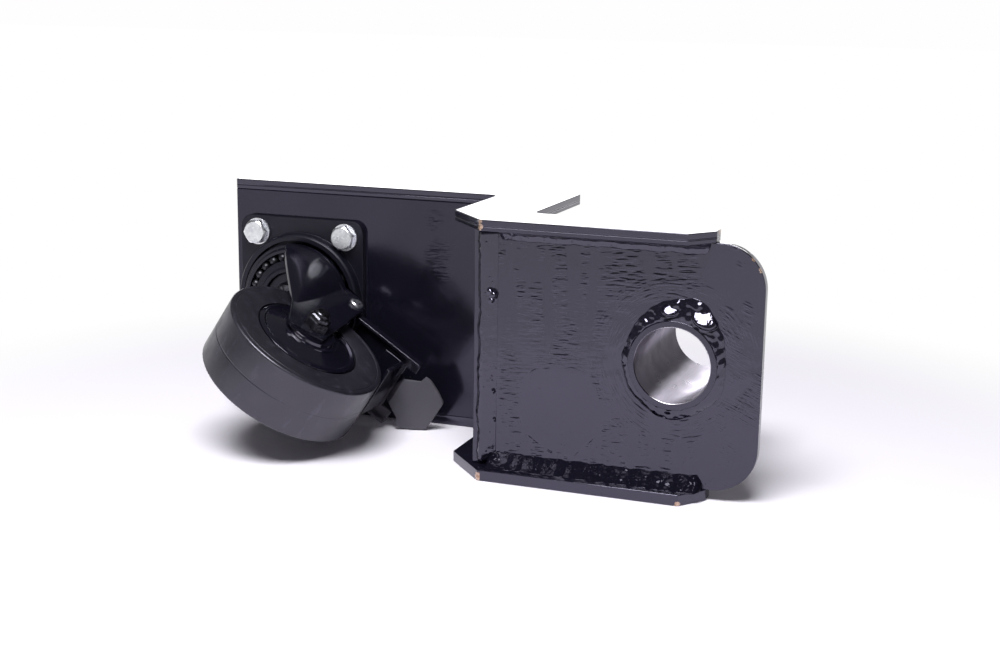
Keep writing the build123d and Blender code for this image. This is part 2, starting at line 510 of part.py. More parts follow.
def build():
    """Every node of the part by name."""
    return {
        "side_plate_upper": side_plate(HALF), "side_plate_lower": side_plate(-HALF - PLATE),
        "arm_plate": arm_plate(), "riser_web": riser_web(), "bush_plate": bush_plate(),
        "post_sleeve": post_sleeve(), "weld_sleeve": sleeve_weld(), "weld_upper": plate_weld(1),
        "weld_lower": plate_weld(-1), "weld_riser": riser_weld(),
        "caster_plate": top_plate(), "plate_bolts": plate_bolts(), "plate_washers": plate_washers(),
        "plate_nuts": plate_nuts(), "kingpin": kingpin(), "kingpin_nut": kingpin_nut(),
        "lower_race": lower_race(),
        "upper_balls": swivel(ball_ring(BALL_D, BALL_PITCH, BALL_N, BALL_DROP)),
        "lower_balls": swivel(ball_ring(LOW_BALL_D, LOW_BALL_PITCH, LOW_BALL_N, LOW_BALL_DROP)),
        "fork": fork(), "axle_bolt": axle_bolt(), "axle_nut": axle_nut(), "axle_bush": axle_bush(),
        "thread_guards": thread_guards(), "tyre": tyre(), "wheel_core": wheel_core(), "rollers": rollers(),
        "brake_lever": brake_lever(), "brake_shoe": brake_shoe(), "brake_pin": brake_pin(),
        "brake_spring": brake_spring(),
    }


if __name__ == "__main__":
    os.makedirs("parts", exist_ok=True)
    for name, shape in build().items():
        export_step(shape, f"parts/{name}.step")
        box = shape.bounding_box()
        print(f"{name:18s} vol {shape.volume:10.1f} solids {len(shape.solids()):3d}"
              f"  min ({box.min.X:.1f} {box.min.Y:.1f} {box.min.Z:.1f})"
              f"  max ({box.max.X:.1f} {box.max.Y:.1f} {box.max.Z:.1f})")
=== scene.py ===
"""Dresses the gate wheel: a welded, Z-shaped steel bracket with a braked swivel caster.

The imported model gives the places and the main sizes. This script adds the finishes, the weld beads and
the pressed forms that the plain solids leave out. Lengths are metres in the part's own frame: the post
sleeve lies on Y, the arm runs towards -X, and the bracket lies on its lower side plate.
"""

import json
import logging
import math
from dataclasses import dataclass
from enum import Enum
from functools import reduce
from typing import Optional, Sequence

import bmesh
import bpy
import numpy as np
from bpy.types import Material, Node, NodeSocket, Object
from mathutils import Matrix, Vector


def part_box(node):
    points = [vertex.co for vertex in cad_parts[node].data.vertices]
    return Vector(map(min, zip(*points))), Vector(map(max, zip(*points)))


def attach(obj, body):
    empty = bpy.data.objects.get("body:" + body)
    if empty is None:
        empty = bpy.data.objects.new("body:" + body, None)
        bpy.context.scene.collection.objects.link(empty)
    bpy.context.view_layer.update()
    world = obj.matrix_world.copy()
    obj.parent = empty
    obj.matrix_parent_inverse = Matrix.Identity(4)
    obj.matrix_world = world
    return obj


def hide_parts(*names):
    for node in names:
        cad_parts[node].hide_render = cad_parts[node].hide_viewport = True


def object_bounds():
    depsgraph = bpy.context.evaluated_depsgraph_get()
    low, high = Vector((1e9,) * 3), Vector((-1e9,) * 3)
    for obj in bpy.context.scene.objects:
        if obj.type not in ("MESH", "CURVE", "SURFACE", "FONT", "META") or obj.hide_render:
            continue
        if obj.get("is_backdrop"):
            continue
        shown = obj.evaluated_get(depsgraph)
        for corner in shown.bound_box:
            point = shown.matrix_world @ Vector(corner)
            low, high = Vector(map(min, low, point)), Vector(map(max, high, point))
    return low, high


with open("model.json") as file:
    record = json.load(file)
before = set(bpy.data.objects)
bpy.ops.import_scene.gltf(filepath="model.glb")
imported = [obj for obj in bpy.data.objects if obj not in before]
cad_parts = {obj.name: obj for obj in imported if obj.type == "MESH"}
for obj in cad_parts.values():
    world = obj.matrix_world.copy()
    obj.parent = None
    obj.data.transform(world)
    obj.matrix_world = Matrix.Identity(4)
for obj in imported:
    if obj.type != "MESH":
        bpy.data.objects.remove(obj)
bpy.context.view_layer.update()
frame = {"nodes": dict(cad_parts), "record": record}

log = logging.getLogger("gate_wheel")
MM = 0.001
Colour = tuple[float, float, float]
Point = tuple[float, float, float]

BLACK: Colour = (0.0052, 0.0050, 0.0100)
DUST: Colour = (0.10, 0.10, 0.11)
SCUFFED: Colour = (0.05, 0.05, 0.055)
VIOLET_SHEEN: Colour = (0.80, 0.76, 0.98)
PALE_SHEEN: Colour = (0.88, 0.85, 1.0)
BRIGHT_STEEL: Colour = (0.58, 0.44, 0.36)
BROWNED_STEEL: Colour = (0.42, 0.27, 0.19)


def rgba(colour: Colour) -> tuple[float, float, float, float]:
    """The colour with full opacity."""
    return (*colour, 1.0)


def lighter(colour: Colour, times: float) -> Colour:
    """The colour made so many times as bright."""
    return tuple(times * c for c in colour)


# ------------------------------------------------------------------ shader graphs
class Graph:
    """The node tree of a material or a world, with the few moves that the finishes need."""

    def __init__(self, name: str, of_world: bool = False) -> None:
        """Makes an empty material or world of that name, its coordinates ready.

        Args:
            name: of the material or the world.
            of_world: makes a world.
        """
        self.owner = (bpy.data.worlds if of_world else bpy.data.materials).new(name)
        self.owner.use_nodes = True
        self.tree = self.owner.node_tree
        self.tree.nodes.clear()
        self.coordinates = self.add("ShaderNodeTexCoord").outputs
        self.place = self.coordinates["Object"]

    def add(self, kind: str, values: Optional[dict] = None, **settings: object) -> Node:
        """Adds one node.

        Args:
            kind: Blender's type name of the node.
            values: input sockets by name or number; a socket is linked, anything else is set.
            settings: the node's own properties.

        Returns:
            The node.
        """
        node = self.tree.nodes.new(kind)
        for name, value in settings.items():
            setattr(node, name, value)
        for key, value in (values or {}).items():
            if isinstance(value, NodeSocket):
                self.tree.links.new(value, node.inputs[key])
            else:
                node.inputs[key].default_value = value
        return node

    def math(self, operation: str, *values: object) -> NodeSocket:
        """The result of one Math node on sockets or numbers."""
        return self.add("ShaderNodeMath", dict(enumerate(values)), operation=operation).outputs[0]

    def times(self, *values: object) -> NodeSocket:
        """The product of sockets or numbers."""
        return reduce(lambda a, b: self.math("MULTIPLY", a, b), values)

    def plus(self, *values: object) -> NodeSocket:
        """The sum of sockets or numbers."""
        return reduce(lambda a, b: self.math("ADD", a, b), values)

    def vector_math(self, operation: str, a: object, b: object) -> Node:
        """One Vector Math node on two vectors."""
        return self.add("ShaderNodeVectorMath", {0: a, 1: b}, operation=operation)

    def noise(self, size: float, detail: float = 2.0, stretch: Point = (1, 1, 1), turn: float = 0.0,
              roughness: float = 0.5, shift: float = 0.0, place: Optional[NodeSocket] = None) -> NodeSocket:
        """Noise, on object coordinates if no others are given.

        Args:
            size: size of its blotches, metres.
            detail: octaves.
            stretch: how much longer than size the blotches are along each axis.
            turn: turn of the pattern about Y, radians.
            roughness: strength of the finer octaves.
            shift: moves the pattern, so that two finishes of one size differ.
            place: the coordinates.

        Returns:
            The noise value's socket, from 0 to 1 about 0.5.
        """
        scale = tuple(1.0 / (size * s) for s in stretch)
        place = self.place if place is None else place
        if turn:
            values = {"Vector": place, "Angle": turn}
            place = self.add("ShaderNodeVectorRotate", values, rotation_type="Y_AXIS").outputs[0]
        values = {"Vector": place, "Location": (shift,) * 3, "Scale": scale}
        place = self.add("ShaderNodeMapping", values).outputs[0]
        values = {"Vector": place, "Scale": 1.0, "Detail": detail, "Roughness": roughness}
        return self.add("ShaderNodeTexNoise", values).outputs["Fac"]

    def spread(self, value: object, low: float, high: float, to_low: float = 0.0, to_high: float = 1.0,
               soft: bool = True) -> NodeSocket:
        """A value carried from one range to another and clamped there.

        Args:
            value: socket or number.
            low: the value that becomes to_low.
            high: the value that becomes to_high.
            to_low: result at low and before it.
            to_high: result at high and past it.
            soft: eases the rise at both ends.

        Returns:
            The result's socket.
        """
        values = {"Value": value, "From Min": low, "From Max": high, "To Min": to_low, "To Max": to_high}
        kind = "SMOOTHSTEP" if soft else "LINEAR"
        return self.add("ShaderNodeMapRange", values, interpolation_type=kind).outputs[0]

    def patches(self, size: float, low: float, high: float, detail: float = 1.0, shift: float = 0.0,
                result: tuple[float, float] = (0.0, 1.0)) -> NodeSocket:
        """Soft-edged patches: even noise, carried from low..high to the two results."""
        return self.spread(self.noise(size, detail, shift=shift), low, high, *result)

    def blend(self, factor: object, a: object, b: object) -> NodeSocket:
        """A colour between a and b; each is a socket or three numbers."""
        a, b = (c if isinstance(c, NodeSocket) else rgba(c) for c in (a, b))
        return self.add("ShaderNodeMix", {0: factor, 6: a, 7: b}, data_type="RGBA").outputs[2]

    def bump(self, height: object, depth: float, under: Optional[NodeSocket] = None) -> NodeSocket:
        """A normal for a height.

        Args:
            height: from 0 to 1.
            depth: how high 1 stands, metres.
            under: the normal that it is added to.

        Returns:
            The normal's socket.
        """
        values = {"Height": height, "Distance": depth, "Strength": 1.0}
        if under is not None:
            values["Normal"] = under
        return self.add("ShaderNodeBump", values).outputs[0]

    def axis(self, name: str) -> NodeSocket:
        """One object coordinate, X, Y or Z, in metres."""
        return self.add("ShaderNodeSeparateXYZ", {0: self.place}).outputs[name]

    def from_sleeve(self) -> NodeSocket:
        """Distance from the sleeve's axis, which is Y."""
        x, z = self.axis("X"), self.axis("Z")
        return self.math("SQRT", self.plus(self.times(x, x), self.times(z, z)))

    def distance(self, centre: Point, upright: bool = False) -> NodeSocket:
        """Distance from a centre; upright leaves Y out, for a pattern on an upright plate."""
        place = self.vector_math("MULTIPLY", self.place, (1, 0, 1)).outputs[0] if upright else self.place
        return self.vector_math("DISTANCE", place, centre).outputs["Value"]

    def near(self, centre: Point, radius: float) -> NodeSocket:
        """A ragged spot about a centre.

        Args:
            centre: the spot's centre.
            radius: its radius, metres; its edge strays by up to 0.8 of that.

        Returns:
            The socket of a value that is 1 inside and 0 outside.
        """
        stray = 0.8 * radius
        edge = self.math("MULTIPLY_ADD", self.noise(radius * 0.45, 3.0), 2 * stray, -stray)
        return self.spread(self.plus(self.distance(centre), edge), radius, radius * 0.85)

    def surface(self, **values: object) -> Node:
        """A Principled surface; names are its sockets with _ for spaces."""
        return self.add("ShaderNodeBsdfPrincipled", {k.replace("_", " "): v for k, v in values.items()})

    def black_gloss(self, colour: object, roughness: object, specular: float, normal: NodeSocket) -> Node:
        """The bracket's gloss paint, whose mirror images have a violet tinge."""
        return self.surface(Base_Color=colour, Roughness=roughness, Specular_IOR_Level=specular,
                            Specular_Tint=rgba(VIOLET_SHEEN), IOR=1.6, Normal=normal)

    def mixed(self, factor: object, under: Node, over: Node) -> Node:
        """Two shaders: the first where the factor is 0, the second where it is 1."""
        return self.add("ShaderNodeMixShader", {0: factor, 1: under.outputs[0], 2: over.outputs[0]})

    def finish(self, shader: Node, output: str = "ShaderNodeOutputMaterial") -> Material:
        """Wires the shader to the output and gives the material, or the world."""
        self.add(output, {"Surface": shader.outputs[0]})
        return self.owner


# ------------------------------------------------------------------ finishes
class Ripple(Enum):
    """How the wet paint has sagged on a piece."""
    NONE = 0
    RUNS = 1
    SLEEVE_PLATE = 2


@dataclass(frozen=True)
class Spot:
    """A round spot on a plate, where the paint is knocked off down to the steel or has run.

    Attributes:
        centre: its middle.
        radius: its radius.
    """
    centre: Point
    radius: float


@dataclass(frozen=True)
class GlossPaint:
    """Black gloss paint, sprayed thick over mill-rough steel.

    Attributes:
        name: the material's name.
        roughness: at the smoothest places; elsewhere it is up to 0.06 more.
        specular: strength of the mirror image.
        peel: depth of the orange peel.
        sway: depth of the slow waves.
        pit: depth of the pinholes.
        ripple: how the paint has sagged.
        sag_depth: depth of the sags round the sleeve.
        run_depth: depth of the short runs.
        runs: the spots with runs.
        front: y of the plate's front face, which alone has sags.
        chips: the spots knocked off.
        cut_line: height of a line scribed along an edge.
        clean_spot: middle of the round place that stayed smooth.
        clean_radius: its radius, about.
    """
    name: str
    roughness: float = 0.07
    specular: float = 0.80
    peel: float = 0.012 * MM
    sway: float = 0.08 * MM
    pit: float = 0.12 * MM
    ripple: Ripple = Ripple.NONE
    sag_depth: float = 0.48 * MM
    run_depth: float = 0.26 * MM
    runs: tuple[Spot, ...] = ()
    front: float = 0.0
    chips: tuple[Spot, ...] = ()
    cut_line: Optional[float] = None
    clean_spot: Point = (-66 * MM, 0.0, -33 * MM)
    clean_radius: float = 25 * MM

    def level_sags(self, g: Graph, x: NodeSocket, radius: NodeSocket, clean: NodeSocket) -> NodeSocket:
        """Level sags, in upright columns left of the sleeve and clear of the smooth place.

        Args:
            g: the material's graph.
            x: the place's X.
            radius: its distance from the sleeve's axis.
            clean: its distance from the middle of the smooth place.

        Returns:
            The height's socket.
        """
        level = g.noise(1.75 * MM, 1.0, (4.6, 1, 1), turn=0.05)
        columns = g.spread(g.noise(11 * MM, 1.0, (1, 1, 6)), 0.34, 0.54)
        away = g.times(g.spread(radius, 36 * MM, 50 * MM), g.spread(x, 22 * MM, 8 * MM))
        outside = g.spread(clean, self.clean_radius + 6 * MM, self.clean_radius + 9 * MM)
        return g.times(level, g.patches(30 * MM, 0.26, 0.50, shift=0.3), columns, away, outside)

    def ring_sags(self, g: Graph, radius: NodeSocket) -> NodeSocket:
        """Curved sags in a ring round the sleeve, of noise laid on (angle, radius).

        Args:
            g: the material's graph.
            radius: the place's distance from the sleeve's axis.

        Returns:
            The height's socket.
        """
        turn = g.times(g.math("ARCTAN2", g.axis("Z"), g.axis("X")), 34 * MM)
        polar = g.add("ShaderNodeCombineXYZ", {0: turn, 1: 0.0, 2: radius}).outputs[0]
        curved = g.noise(1.6 * MM, 1.0, (5.625, 1, 1), place=polar)
        ring = g.times(g.spread(radius, 27 * MM, 33 * MM), g.spread(radius, 56 * MM, 42 * MM))
        return g.times(curved, ring, g.patches(16 * MM, 0.36, 0.6, shift=5.0))

    def slanted_sags(self, g: Graph, x: NodeSocket, radius: NodeSocket) -> NodeSocket:
        """Sags that slant down to the right, at the plate's free end.

        Args:
            g: the material's graph.
            x: the place's X.
            radius: its distance from the sleeve's axis.

        Returns:
            The height's socket.
        """
        slanted = g.noise(1.5 * MM, 1.0, (6, 1, 1), turn=-0.42, shift=2.6)
        right = g.times(g.spread(x, 20 * MM, 32 * MM), g.spread(radius, 30 * MM, 38 * MM))
        return g.times(slanted, right, g.patches(18 * MM, 0.4, 0.6, shift=6.0))

    def sags(self, g: Graph) -> NodeSocket:
        """All the sags of the sleeve's plate, and the fine rim round the place that stayed smooth.

        Args:
            g: the material's graph.

        Returns:
            The height's socket.
        """
        x, radius = g.axis("X"), g.from_sleeve()
        stray = g.times(g.noise(22 * MM, 1.0, shift=4.0), 14 * MM)
        clean = g.plus(g.distance(self.clean_spot, upright=True), stray)
        off_rim = g.math("ABSOLUTE", g.math("SUBTRACT", clean, self.clean_radius + 7.5 * MM))
        rim = g.times(g.spread(off_rim, 1.0 * MM, 0.0), g.patches(9 * MM, 0.42, 0.6, shift=7.0))
        return g.plus(self.level_sags(g, x, radius, clean), g.times(self.ring_sags(g, radius), 0.8),
                      g.times(self.slanted_sags(g, x, radius), 0.75), g.times(rim, 0.25))

    def ran(self, g: Graph) -> NodeSocket:
        """Height of the short level runs, inside their spots alone."""
        spots = [g.spread(g.distance(run.centre), run.radius, 0.2 * run.radius) for run in self.runs]
        inside = reduce(lambda a, b: g.math("MAXIMUM", a, b), spots)
        return g.times(g.noise(1.3 * MM, 1.0, (6, 1, 1), turn=0.05), inside)

    def relief(self, g: Graph) -> NodeSocket:
        """The normal, from the steel's slow waves to the pinholes in the paint.

        Args:
            g: the material's graph.

        Returns:
            The normal's socket.
        """
        normal = g.bump(g.noise(2.2 * MM, 2.0), self.peel)
        normal = g.bump(g.noise(24 * MM, 2.0, shift=0.7), self.sway, normal)
        if self.ripple is Ripple.RUNS:
            normal = g.bump(self.ran(g), self.run_depth, normal)
        if self.ripple is Ripple.SLEEVE_PLATE:
            on_front = g.spread(g.axis("Y"), self.front + 2 * MM, self.front + 1 * MM)
            normal = g.bump(g.times(self.sags(g), on_front), self.sag_depth, normal)
        normal = g.bump(g.patches(1.0 * MM, 0.76, 0.82, shift=1.1), -self.pit, normal)
        if self.cut_line is not None:
            off_line = g.math("ABSOLUTE", g.math("SUBTRACT", g.axis("Z"), self.cut_line))
            normal = g.bump(g.spread(off_line, 0.55 * MM, 0.1 * MM), -0.35 * MM, normal)
        return normal

    def build(self) -> Material:
        """Lays the paint, and bare steel where it is chipped.

        Returns:
            The material.
        """
        g = Graph(self.name)
        normal = self.relief(g)
        tone = g.blend(g.patches(60 * MM, 0.35, 0.7, 3.0), BLACK, lighter(BLACK, 1.4))
        tone = g.blend(g.patches(0.8 * MM, 0.80, 0.84, shift=2.0), tone, DUST)
        rough = g.patches(35 * MM, 0.3, 0.75, 3.0, 0.2, (self.roughness, self.roughness + 0.06))
        paint = g.black_gloss(tone, rough, self.specular, normal)
        if not self.chips:
            return g.finish(paint)
        spots = [g.near(chip.centre, chip.radius) for chip in self.chips]
        worn = reduce(lambda a, b: g.math("MAXIMUM", a, b), spots)
        return g.finish(g.mixed(worn, paint, bare_steel(g, normal)))


def bare_steel(g: Graph, normal: NodeSocket) -> Node:
    """Bright steel with a trace of brown, for chips."""
    tone = g.blend(g.patches(1.6 * MM, 0.4, 0.65, 3.0, 0.9), BRIGHT_STEEL, BROWNED_STEEL)
    return g.surface(Base_Color=tone, Metallic=1.0, Roughness=0.34, Normal=normal)


@dataclass(frozen=True)
class WeldPaint:
    """The same gloss paint, run thin over lumpy weld metal.

    Attributes:
        name: the material's name.
        grit: depth of the fine lumps.
        pits: share of pits.
        sparkle: share of bright slag that shows.
        specular: strength of the paint's mirror image.
        slag: colour of the slag.
    """
    name: str
    grit: float = 0.03 * MM
    pits: float = 0.5
    sparkle: float = 0.5
    specular: float = 0.85
    slag: Colour = (0.62, 0.62, 0.66)

    def build(self) -> Material:
        """Lays paint over lumps and pits, with specks of slag.

        Returns:
            The material.
        """
        g = Graph(self.name)
        normal = g.bump(g.noise(1.3 * MM, 2.0), self.grit)
        normal = g.bump(g.noise(4.0 * MM, 2.0, shift=0.5), 2 * self.grit, normal)
        low = 0.82 - 0.12 * self.pits
        normal = g.bump(g.patches(1.5 * MM, low, low + 0.05, 1.5, 1.6), -0.5 * MM, normal)
        paint = g.black_gloss(rgba(BLACK), 0.08, self.specular, normal)
        slag = g.surface(Base_Color=rgba(self.slag), Metallic=1.0, Roughness=0.18, Normal=normal)
        low = 0.84 - 0.08 * self.sparkle
        return g.finish(g.mixed(g.patches(0.7 * MM, low, low + 0.04, 2.0, 3.1), paint, slag))


@dataclass(frozen=True)
class SleeveFinish:
    """Painted outside; inside the bore drawn steel, darkened towards its left by painted shade and by one
    painted dark reflection band.

    Attributes:
        name: the material's name.
        bore: radius of the bore.
        dark_band_turn: where round the bore the painted dark reflection band lies, from +X towards +Z.
        shade_turn: the same for the middle of the painted shade.
        steel: colour of the clean steel.
        painted_shade: colour of the painted shade, which stands in for the dark things that the bore
            reflects.
        painted_dark_band: colour of the painted dark reflection band.
        speck: colour of the specks.
        sheen: tint of the steel's edge-on mirror image.
    """
    name: str
    bore: float
    dark_band_turn: float = math.radians(-152)
    shade_turn: float = math.radians(165)
    steel: Colour = (0.86, 0.83, 0.90)
    painted_shade: Colour = (0.25, 0.23, 0.27)
    painted_dark_band: Colour = (0.016, 0.014, 0.018)
    speck: Colour = (0.05, 0.04, 0.04)
    sheen: Colour = (0.74, 0.72, 0.78)

    def facing(self, g: Graph, turn: float) -> NodeSocket:
        """The cosine of the angle between a place on the bore and a direction, from +X towards +Z."""
        upward = g.times(g.axis("Z"), math.sin(turn) / self.bore)
        return g.math("MULTIPLY_ADD", g.axis("X"), math.cos(turn) / self.bore, upward)

    def build(self) -> Material:
        """Lays paint outside and steel within the bore, with its painted shade and its painted dark
        reflection band.

        Returns:
            The material.
        """
        g = Graph(self.name)
        coat = g.black_gloss(rgba(BLACK), 0.12, 0.75, g.bump(g.noise(2.0 * MM, 2.0), 0.03 * MM))
        drawn = g.noise(0.8 * MM, 3.0, (1, 16, 1), shift=0.4)
        stray = g.times(g.noise(12 * MM, 2.0, (1, 2.5, 1), shift=1.2), 0.12)
        # how far each place faces the painted shade and the painted dark reflection band; both stand in for
        # reflections
        shade_facing, painted_dark_band = (g.plus(self.facing(g, turn), stray) for turn in (self.shade_turn, self.dark_band_turn))
        tone = g.blend(g.spread(drawn, 0.3, 0.7), self.steel, lighter(self.steel, 1.1))
        tone = g.blend(g.spread(shade_facing, 0.45, 0.85), tone, self.painted_shade)
        tone = g.blend(g.spread(painted_dark_band, 0.80, 0.99), tone, self.painted_dark_band)
        tone = g.blend(g.patches(1.4 * MM, 0.80, 0.83, 2.0, 2.2), tone, self.speck)
        rough = g.patches(14 * MM, 0.3, 0.7, 2.0, 1.9, (0.26, 0.36))
        steel = g.surface(Base_Color=tone, Metallic=1.0, Roughness=rough, Specular_Tint=rgba(self.sheen),
                          Normal=g.bump(drawn, 0.006 * MM))
        inside = g.spread(g.from_sleeve(), self.bore + 0.5 * MM, self.bore + 0.2 * MM)
        return g.finish(g.mixed(inside, coat, steel))


@dataclass(frozen=True)
class PressedPaint:
    """Thin black electro-coat on the caster's pressings.

    Attributes:
        name: the material's name.
        roughness: at the smoothest places; elsewhere it is up to 0.09 more.
        specular: strength of the mirror image.
        satin_and_reflection_from: from this place on, the coat is rubbed to a satin, and its colour is
            lightened as a painted reflection of the floor.
        satin_and_reflection_way: the direction in which that part lies.
        painted_reflection_tone: colour of that part, a painted reflection of the pale floor.
    """
    name: str
    roughness: float = 0.13
    specular: float = 0.55
    satin_and_reflection_from: Optional[Point] = None
    satin_and_reflection_way: Point = (1.0, 0.0, 0.0)
    painted_reflection_tone: Colour = (0.080, 0.075, 0.092)

    def build(self) -> Material:
        """Lays the coat with its faint scuffs, and its satin part with a painted reflection of the floor.

        Returns:
            The material.
        """
        g = Graph(self.name)
        normal = g.bump(g.noise(1.2 * MM, 2.0), 0.006 * MM)
        normal = g.bump(g.noise(16 * MM, 2.0, shift=0.4), 0.05 * MM, normal)
        scratches = g.spread(g.noise(0.5 * MM, 3.0, (9, 1, 1), turn=0.6), 0.66, 0.78)
        scuffs = g.times(scratches, g.patches(18 * MM, 0.5, 0.7, 2.0, 2.4), 0.5)
        rough = g.patches(12 * MM, 0.3, 0.7, 3.0, 1.3, (self.roughness, self.roughness + 0.09))
        coat = g.surface(Base_Color=g.blend(scuffs, BLACK, SCUFFED), Roughness=rough, IOR=1.55,
                         Specular_IOR_Level=self.specular, Specular_Tint=rgba(PALE_SHEEN), Normal=normal)
        if self.satin_and_reflection_from is None:
            return g.finish(coat)
        past = g.vector_math("SUBTRACT", g.place, self.satin_and_reflection_from).outputs[0]
        past = g.vector_math("DOT_PRODUCT", past, self.satin_and_reflection_way).outputs["Value"]
        # the satin part's lighter colour is a painted reflection of the pale floor
        rubbed = g.surface(Base_Color=rgba(self.painted_reflection_tone), Roughness=0.6, Specular_IOR_Level=0.35,
                           Normal=normal)
        return g.finish(g.mixed(g.spread(past, 0.0, 3 * MM), coat, rubbed))


@dataclass(frozen=True)
class PlatedSteel:
    """Zinc plate or plain oiled steel on fasteners and bearing parts.

    Attributes:
        name: the material's name.
        colour: of the clean metal.
        dull: of its blotches.
        roughness: at the smoothest places; elsewhere it is up to 0.14 more.
    """
    name: str
    colour: Colour
    dull: Colour
    roughness: float

    def build(self) -> Material:
        """Lays blotched metal.

        Returns:
            The material.
        """
        g = Graph(self.name)
        tone = g.blend(g.patches(3.0 * MM, 0.35, 0.7, 3.0), self.colour, self.dull)
        rough = g.patches(1.4 * MM, 0.3, 0.7, 2.0, 0.8, (self.roughness, self.roughness + 0.14))
        normal = g.bump(g.noise(0.8 * MM, 2.0, shift=0.3), 0.02 * MM)
        return g.finish(g.surface(Base_Color=tone, Metallic=1.0, Roughness=rough, Normal=normal))


@dataclass(frozen=True)
class TreadRubber:
    """Hard moulded tread: satin and a little scuffed.

    Attributes:
        name: the material's name.
        colour: of the clean rubber.
        speck: of the specks of dirt.
        roughness: at the smoothest places; elsewhere it is up to 0.12 more.
    """
    name: str
    colour: Colour = (0.014, 0.0132, 0.019)
    speck: Colour = (0.2, 0.2, 0.2)
    roughness: float = 0.30

    def build(self) -> Material:
        """Lays moulded rubber with scuffs and specks of dirt.

        Returns:
            The material.
        """
        g = Graph(self.name)
        normal = g.bump(g.noise(0.45 * MM, 2.0), 0.012 * MM)
        normal = g.bump(g.noise(9 * MM, 2.0, shift=0.2), 0.06 * MM, normal)
        scuff = g.spread(g.noise(5 * MM, 4.0, (3, 1, 1), turn=0.9, roughness=0.65), 0.55, 0.72)
        tone = g.blend(scuff, self.colour, lighter(self.colour, 2.6))
        tone = g.blend(g.patches(0.8 * MM, 0.78, 0.82, shift=3.3), tone, self.speck)
        rough = g.patches(11 * MM, 0.3, 0.7, 4.0, 1.4, (self.roughness, self.roughness + 0.12))
        return g.finish(g.surface(Base_Color=tone, Roughness=rough, Specular_IOR_Level=1.0,
                                  Specular_Tint=rgba(PALE_SHEEN), Normal=normal))


# ------------------------------------------------------------------ meshes
def new_object(name: str, mesh: bpy.types.Mesh) -> Object:
    """Links a mesh as an object at the origin."""
    thing = bpy.data.objects.new(name, mesh)
    bpy.context.scene.collection.objects.link(thing)
    return thing


def grid_faces(rows: int, columns: int, wrap_rows: bool, wrap_columns: bool) -> np.ndarray:
    """Quads of a grid of points, row after row.

    Args:
        rows: points along the first parameter.
        columns: points along the second.
        wrap_rows: joins the last row to the first.
        wrap_columns: joins the last column to the first.

    Returns:
        An (n, 4) array of point numbers.
    """
    r = np.arange(rows if wrap_rows else rows - 1)[:, None]
    c = np.arange(columns if wrap_columns else columns - 1)[None, :]
    r2, c2 = (r + 1) % rows, (c + 1) % columns
    quads = np.stack([r * columns + c, r * columns + c2, r2 * columns + c2, r2 * columns + c], -1)
    return quads.reshape(-1, 4)


def surface(name: str, points: np.ndarray, wrap_rows: bool = False, wrap_columns: bool = False) -> Object:
    """A smooth mesh over a grid of points, its doubled points merged and its faces turned outwards.

    Args:
        name: the object's name.
        points: (rows, columns, 3) array in metres.
        wrap_rows: joins the last row to the first.
        wrap_columns: joins the last column to the first.

    Returns:
        The object.
    """
    rows, columns = points.shape[:2]
    mesh = bpy.data.meshes.new(name)
    mesh.from_pydata(points.reshape(-1, 3).tolist(), [],
                     grid_faces(rows, columns, wrap_rows, wrap_columns).tolist())
    work = bmesh.new()
    work.from_mesh(mesh)
    bmesh.ops.remove_doubles(work, verts=work.verts, dist=1e-7)
    bmesh.ops.dissolve_degenerate(work, edges=work.edges, dist=1e-7)
    bmesh.ops.recalc_face_normals(work, faces=work.faces)
    work.to_mesh(mesh)
    work.free()
    mesh.polygons.foreach_set("use_smooth", np.ones(len(mesh.polygons), bool))
    return new_object(name, mesh)


def sharp_by_angle(thing: Object, degrees: float) -> None:
    """Marks as sharp the edges that turn by more than that angle."""
    thing.data.set_sharp_from_angle(angle=math.radians(degrees))


def carried(points: np.ndarray, place: Matrix) -> np.ndarray:
    """The points after the transform."""
    m = np.array(place)
    return points @ m[:3, :3].T + m[:3, 3]


def turned(name: str, profile: Sequence[tuple[float, float]], place: Matrix, steps: int) -> Object:
    """A closed profile turned about an axis.

    Each point (r, h) of the profile becomes the circle (r cos a, r sin a, h), which place then carries
    to the part.

    Args:
        name: the object's name.
        profile: closed outline as (radius, height) in metres.
        place: from the axis' own frame to the part's.
        steps: points round the circle.

    Returns:
        The object.
    """
    p = np.array(profile, float)
    a = np.linspace(0, 2 * np.pi, steps, endpoint=False)[:, None]
    local = np.stack([p[None, :, 0] * np.cos(a), p[None, :, 0] * np.sin(a),
                      np.broadcast_to(p[None, :, 1], (steps, len(p)))], -1)
    thing = surface(name, carried(local, place), wrap_rows=True, wrap_columns=True)
    sharp_by_angle(thing, 32)
    return thing


def hexed(name: str, place: Matrix, flats: float, profile: Sequence[tuple[float, float]], chamfer: float,
          spin: float = 0.0) -> Object:
    """A hexagon with a turned chamfer: a bolt's head or a nut.

    At angle a, the side stands at flats / 2 / cos(a'), a' being the angle from the middle of the nearest
    flat; the side drops by chamfer * (reach - flats / 2) / (corner - flats / 2) at the free end, as a cone
    cuts it. The profile's points (share, height) give each ring's share of that reach and its height.

    Args:
        name: the object's name.
        place: from the hexagon's own frame, z towards its free end, to the part's.
        flats: width across flats.
        profile: rings from the seat's middle to the free end's middle.
        chamfer: drop of a corner at the free end.
        spin: turn about z, radians.

    Returns:
        The object.
    """
    steps = 144
    p = np.array(profile, float)
    a = np.linspace(0, 2 * np.pi, steps, endpoint=False)[:, None]
    from_flat = (a + np.pi / 6) % (np.pi / 3) - np.pi / 6
    corner = flats / 2 / math.cos(math.pi / 6)
    r = flats / 2 / np.cos(from_flat) * p[None, :, 0]
    drop = chamfer * np.clip(r - flats / 2, 0, None) / (corner - flats / 2)
    level = np.broadcast_to(p[None, :, 1], r.shape)
    h = np.where(level > p[:, 1].max() / 2, level - drop, level)
    local = np.stack([r * np.cos(a + spin), r * np.sin(a + spin), h], -1)
    thing = surface(name, carried(local, place), wrap_rows=True)
    sharp_by_angle(thing, 26)
    return thing


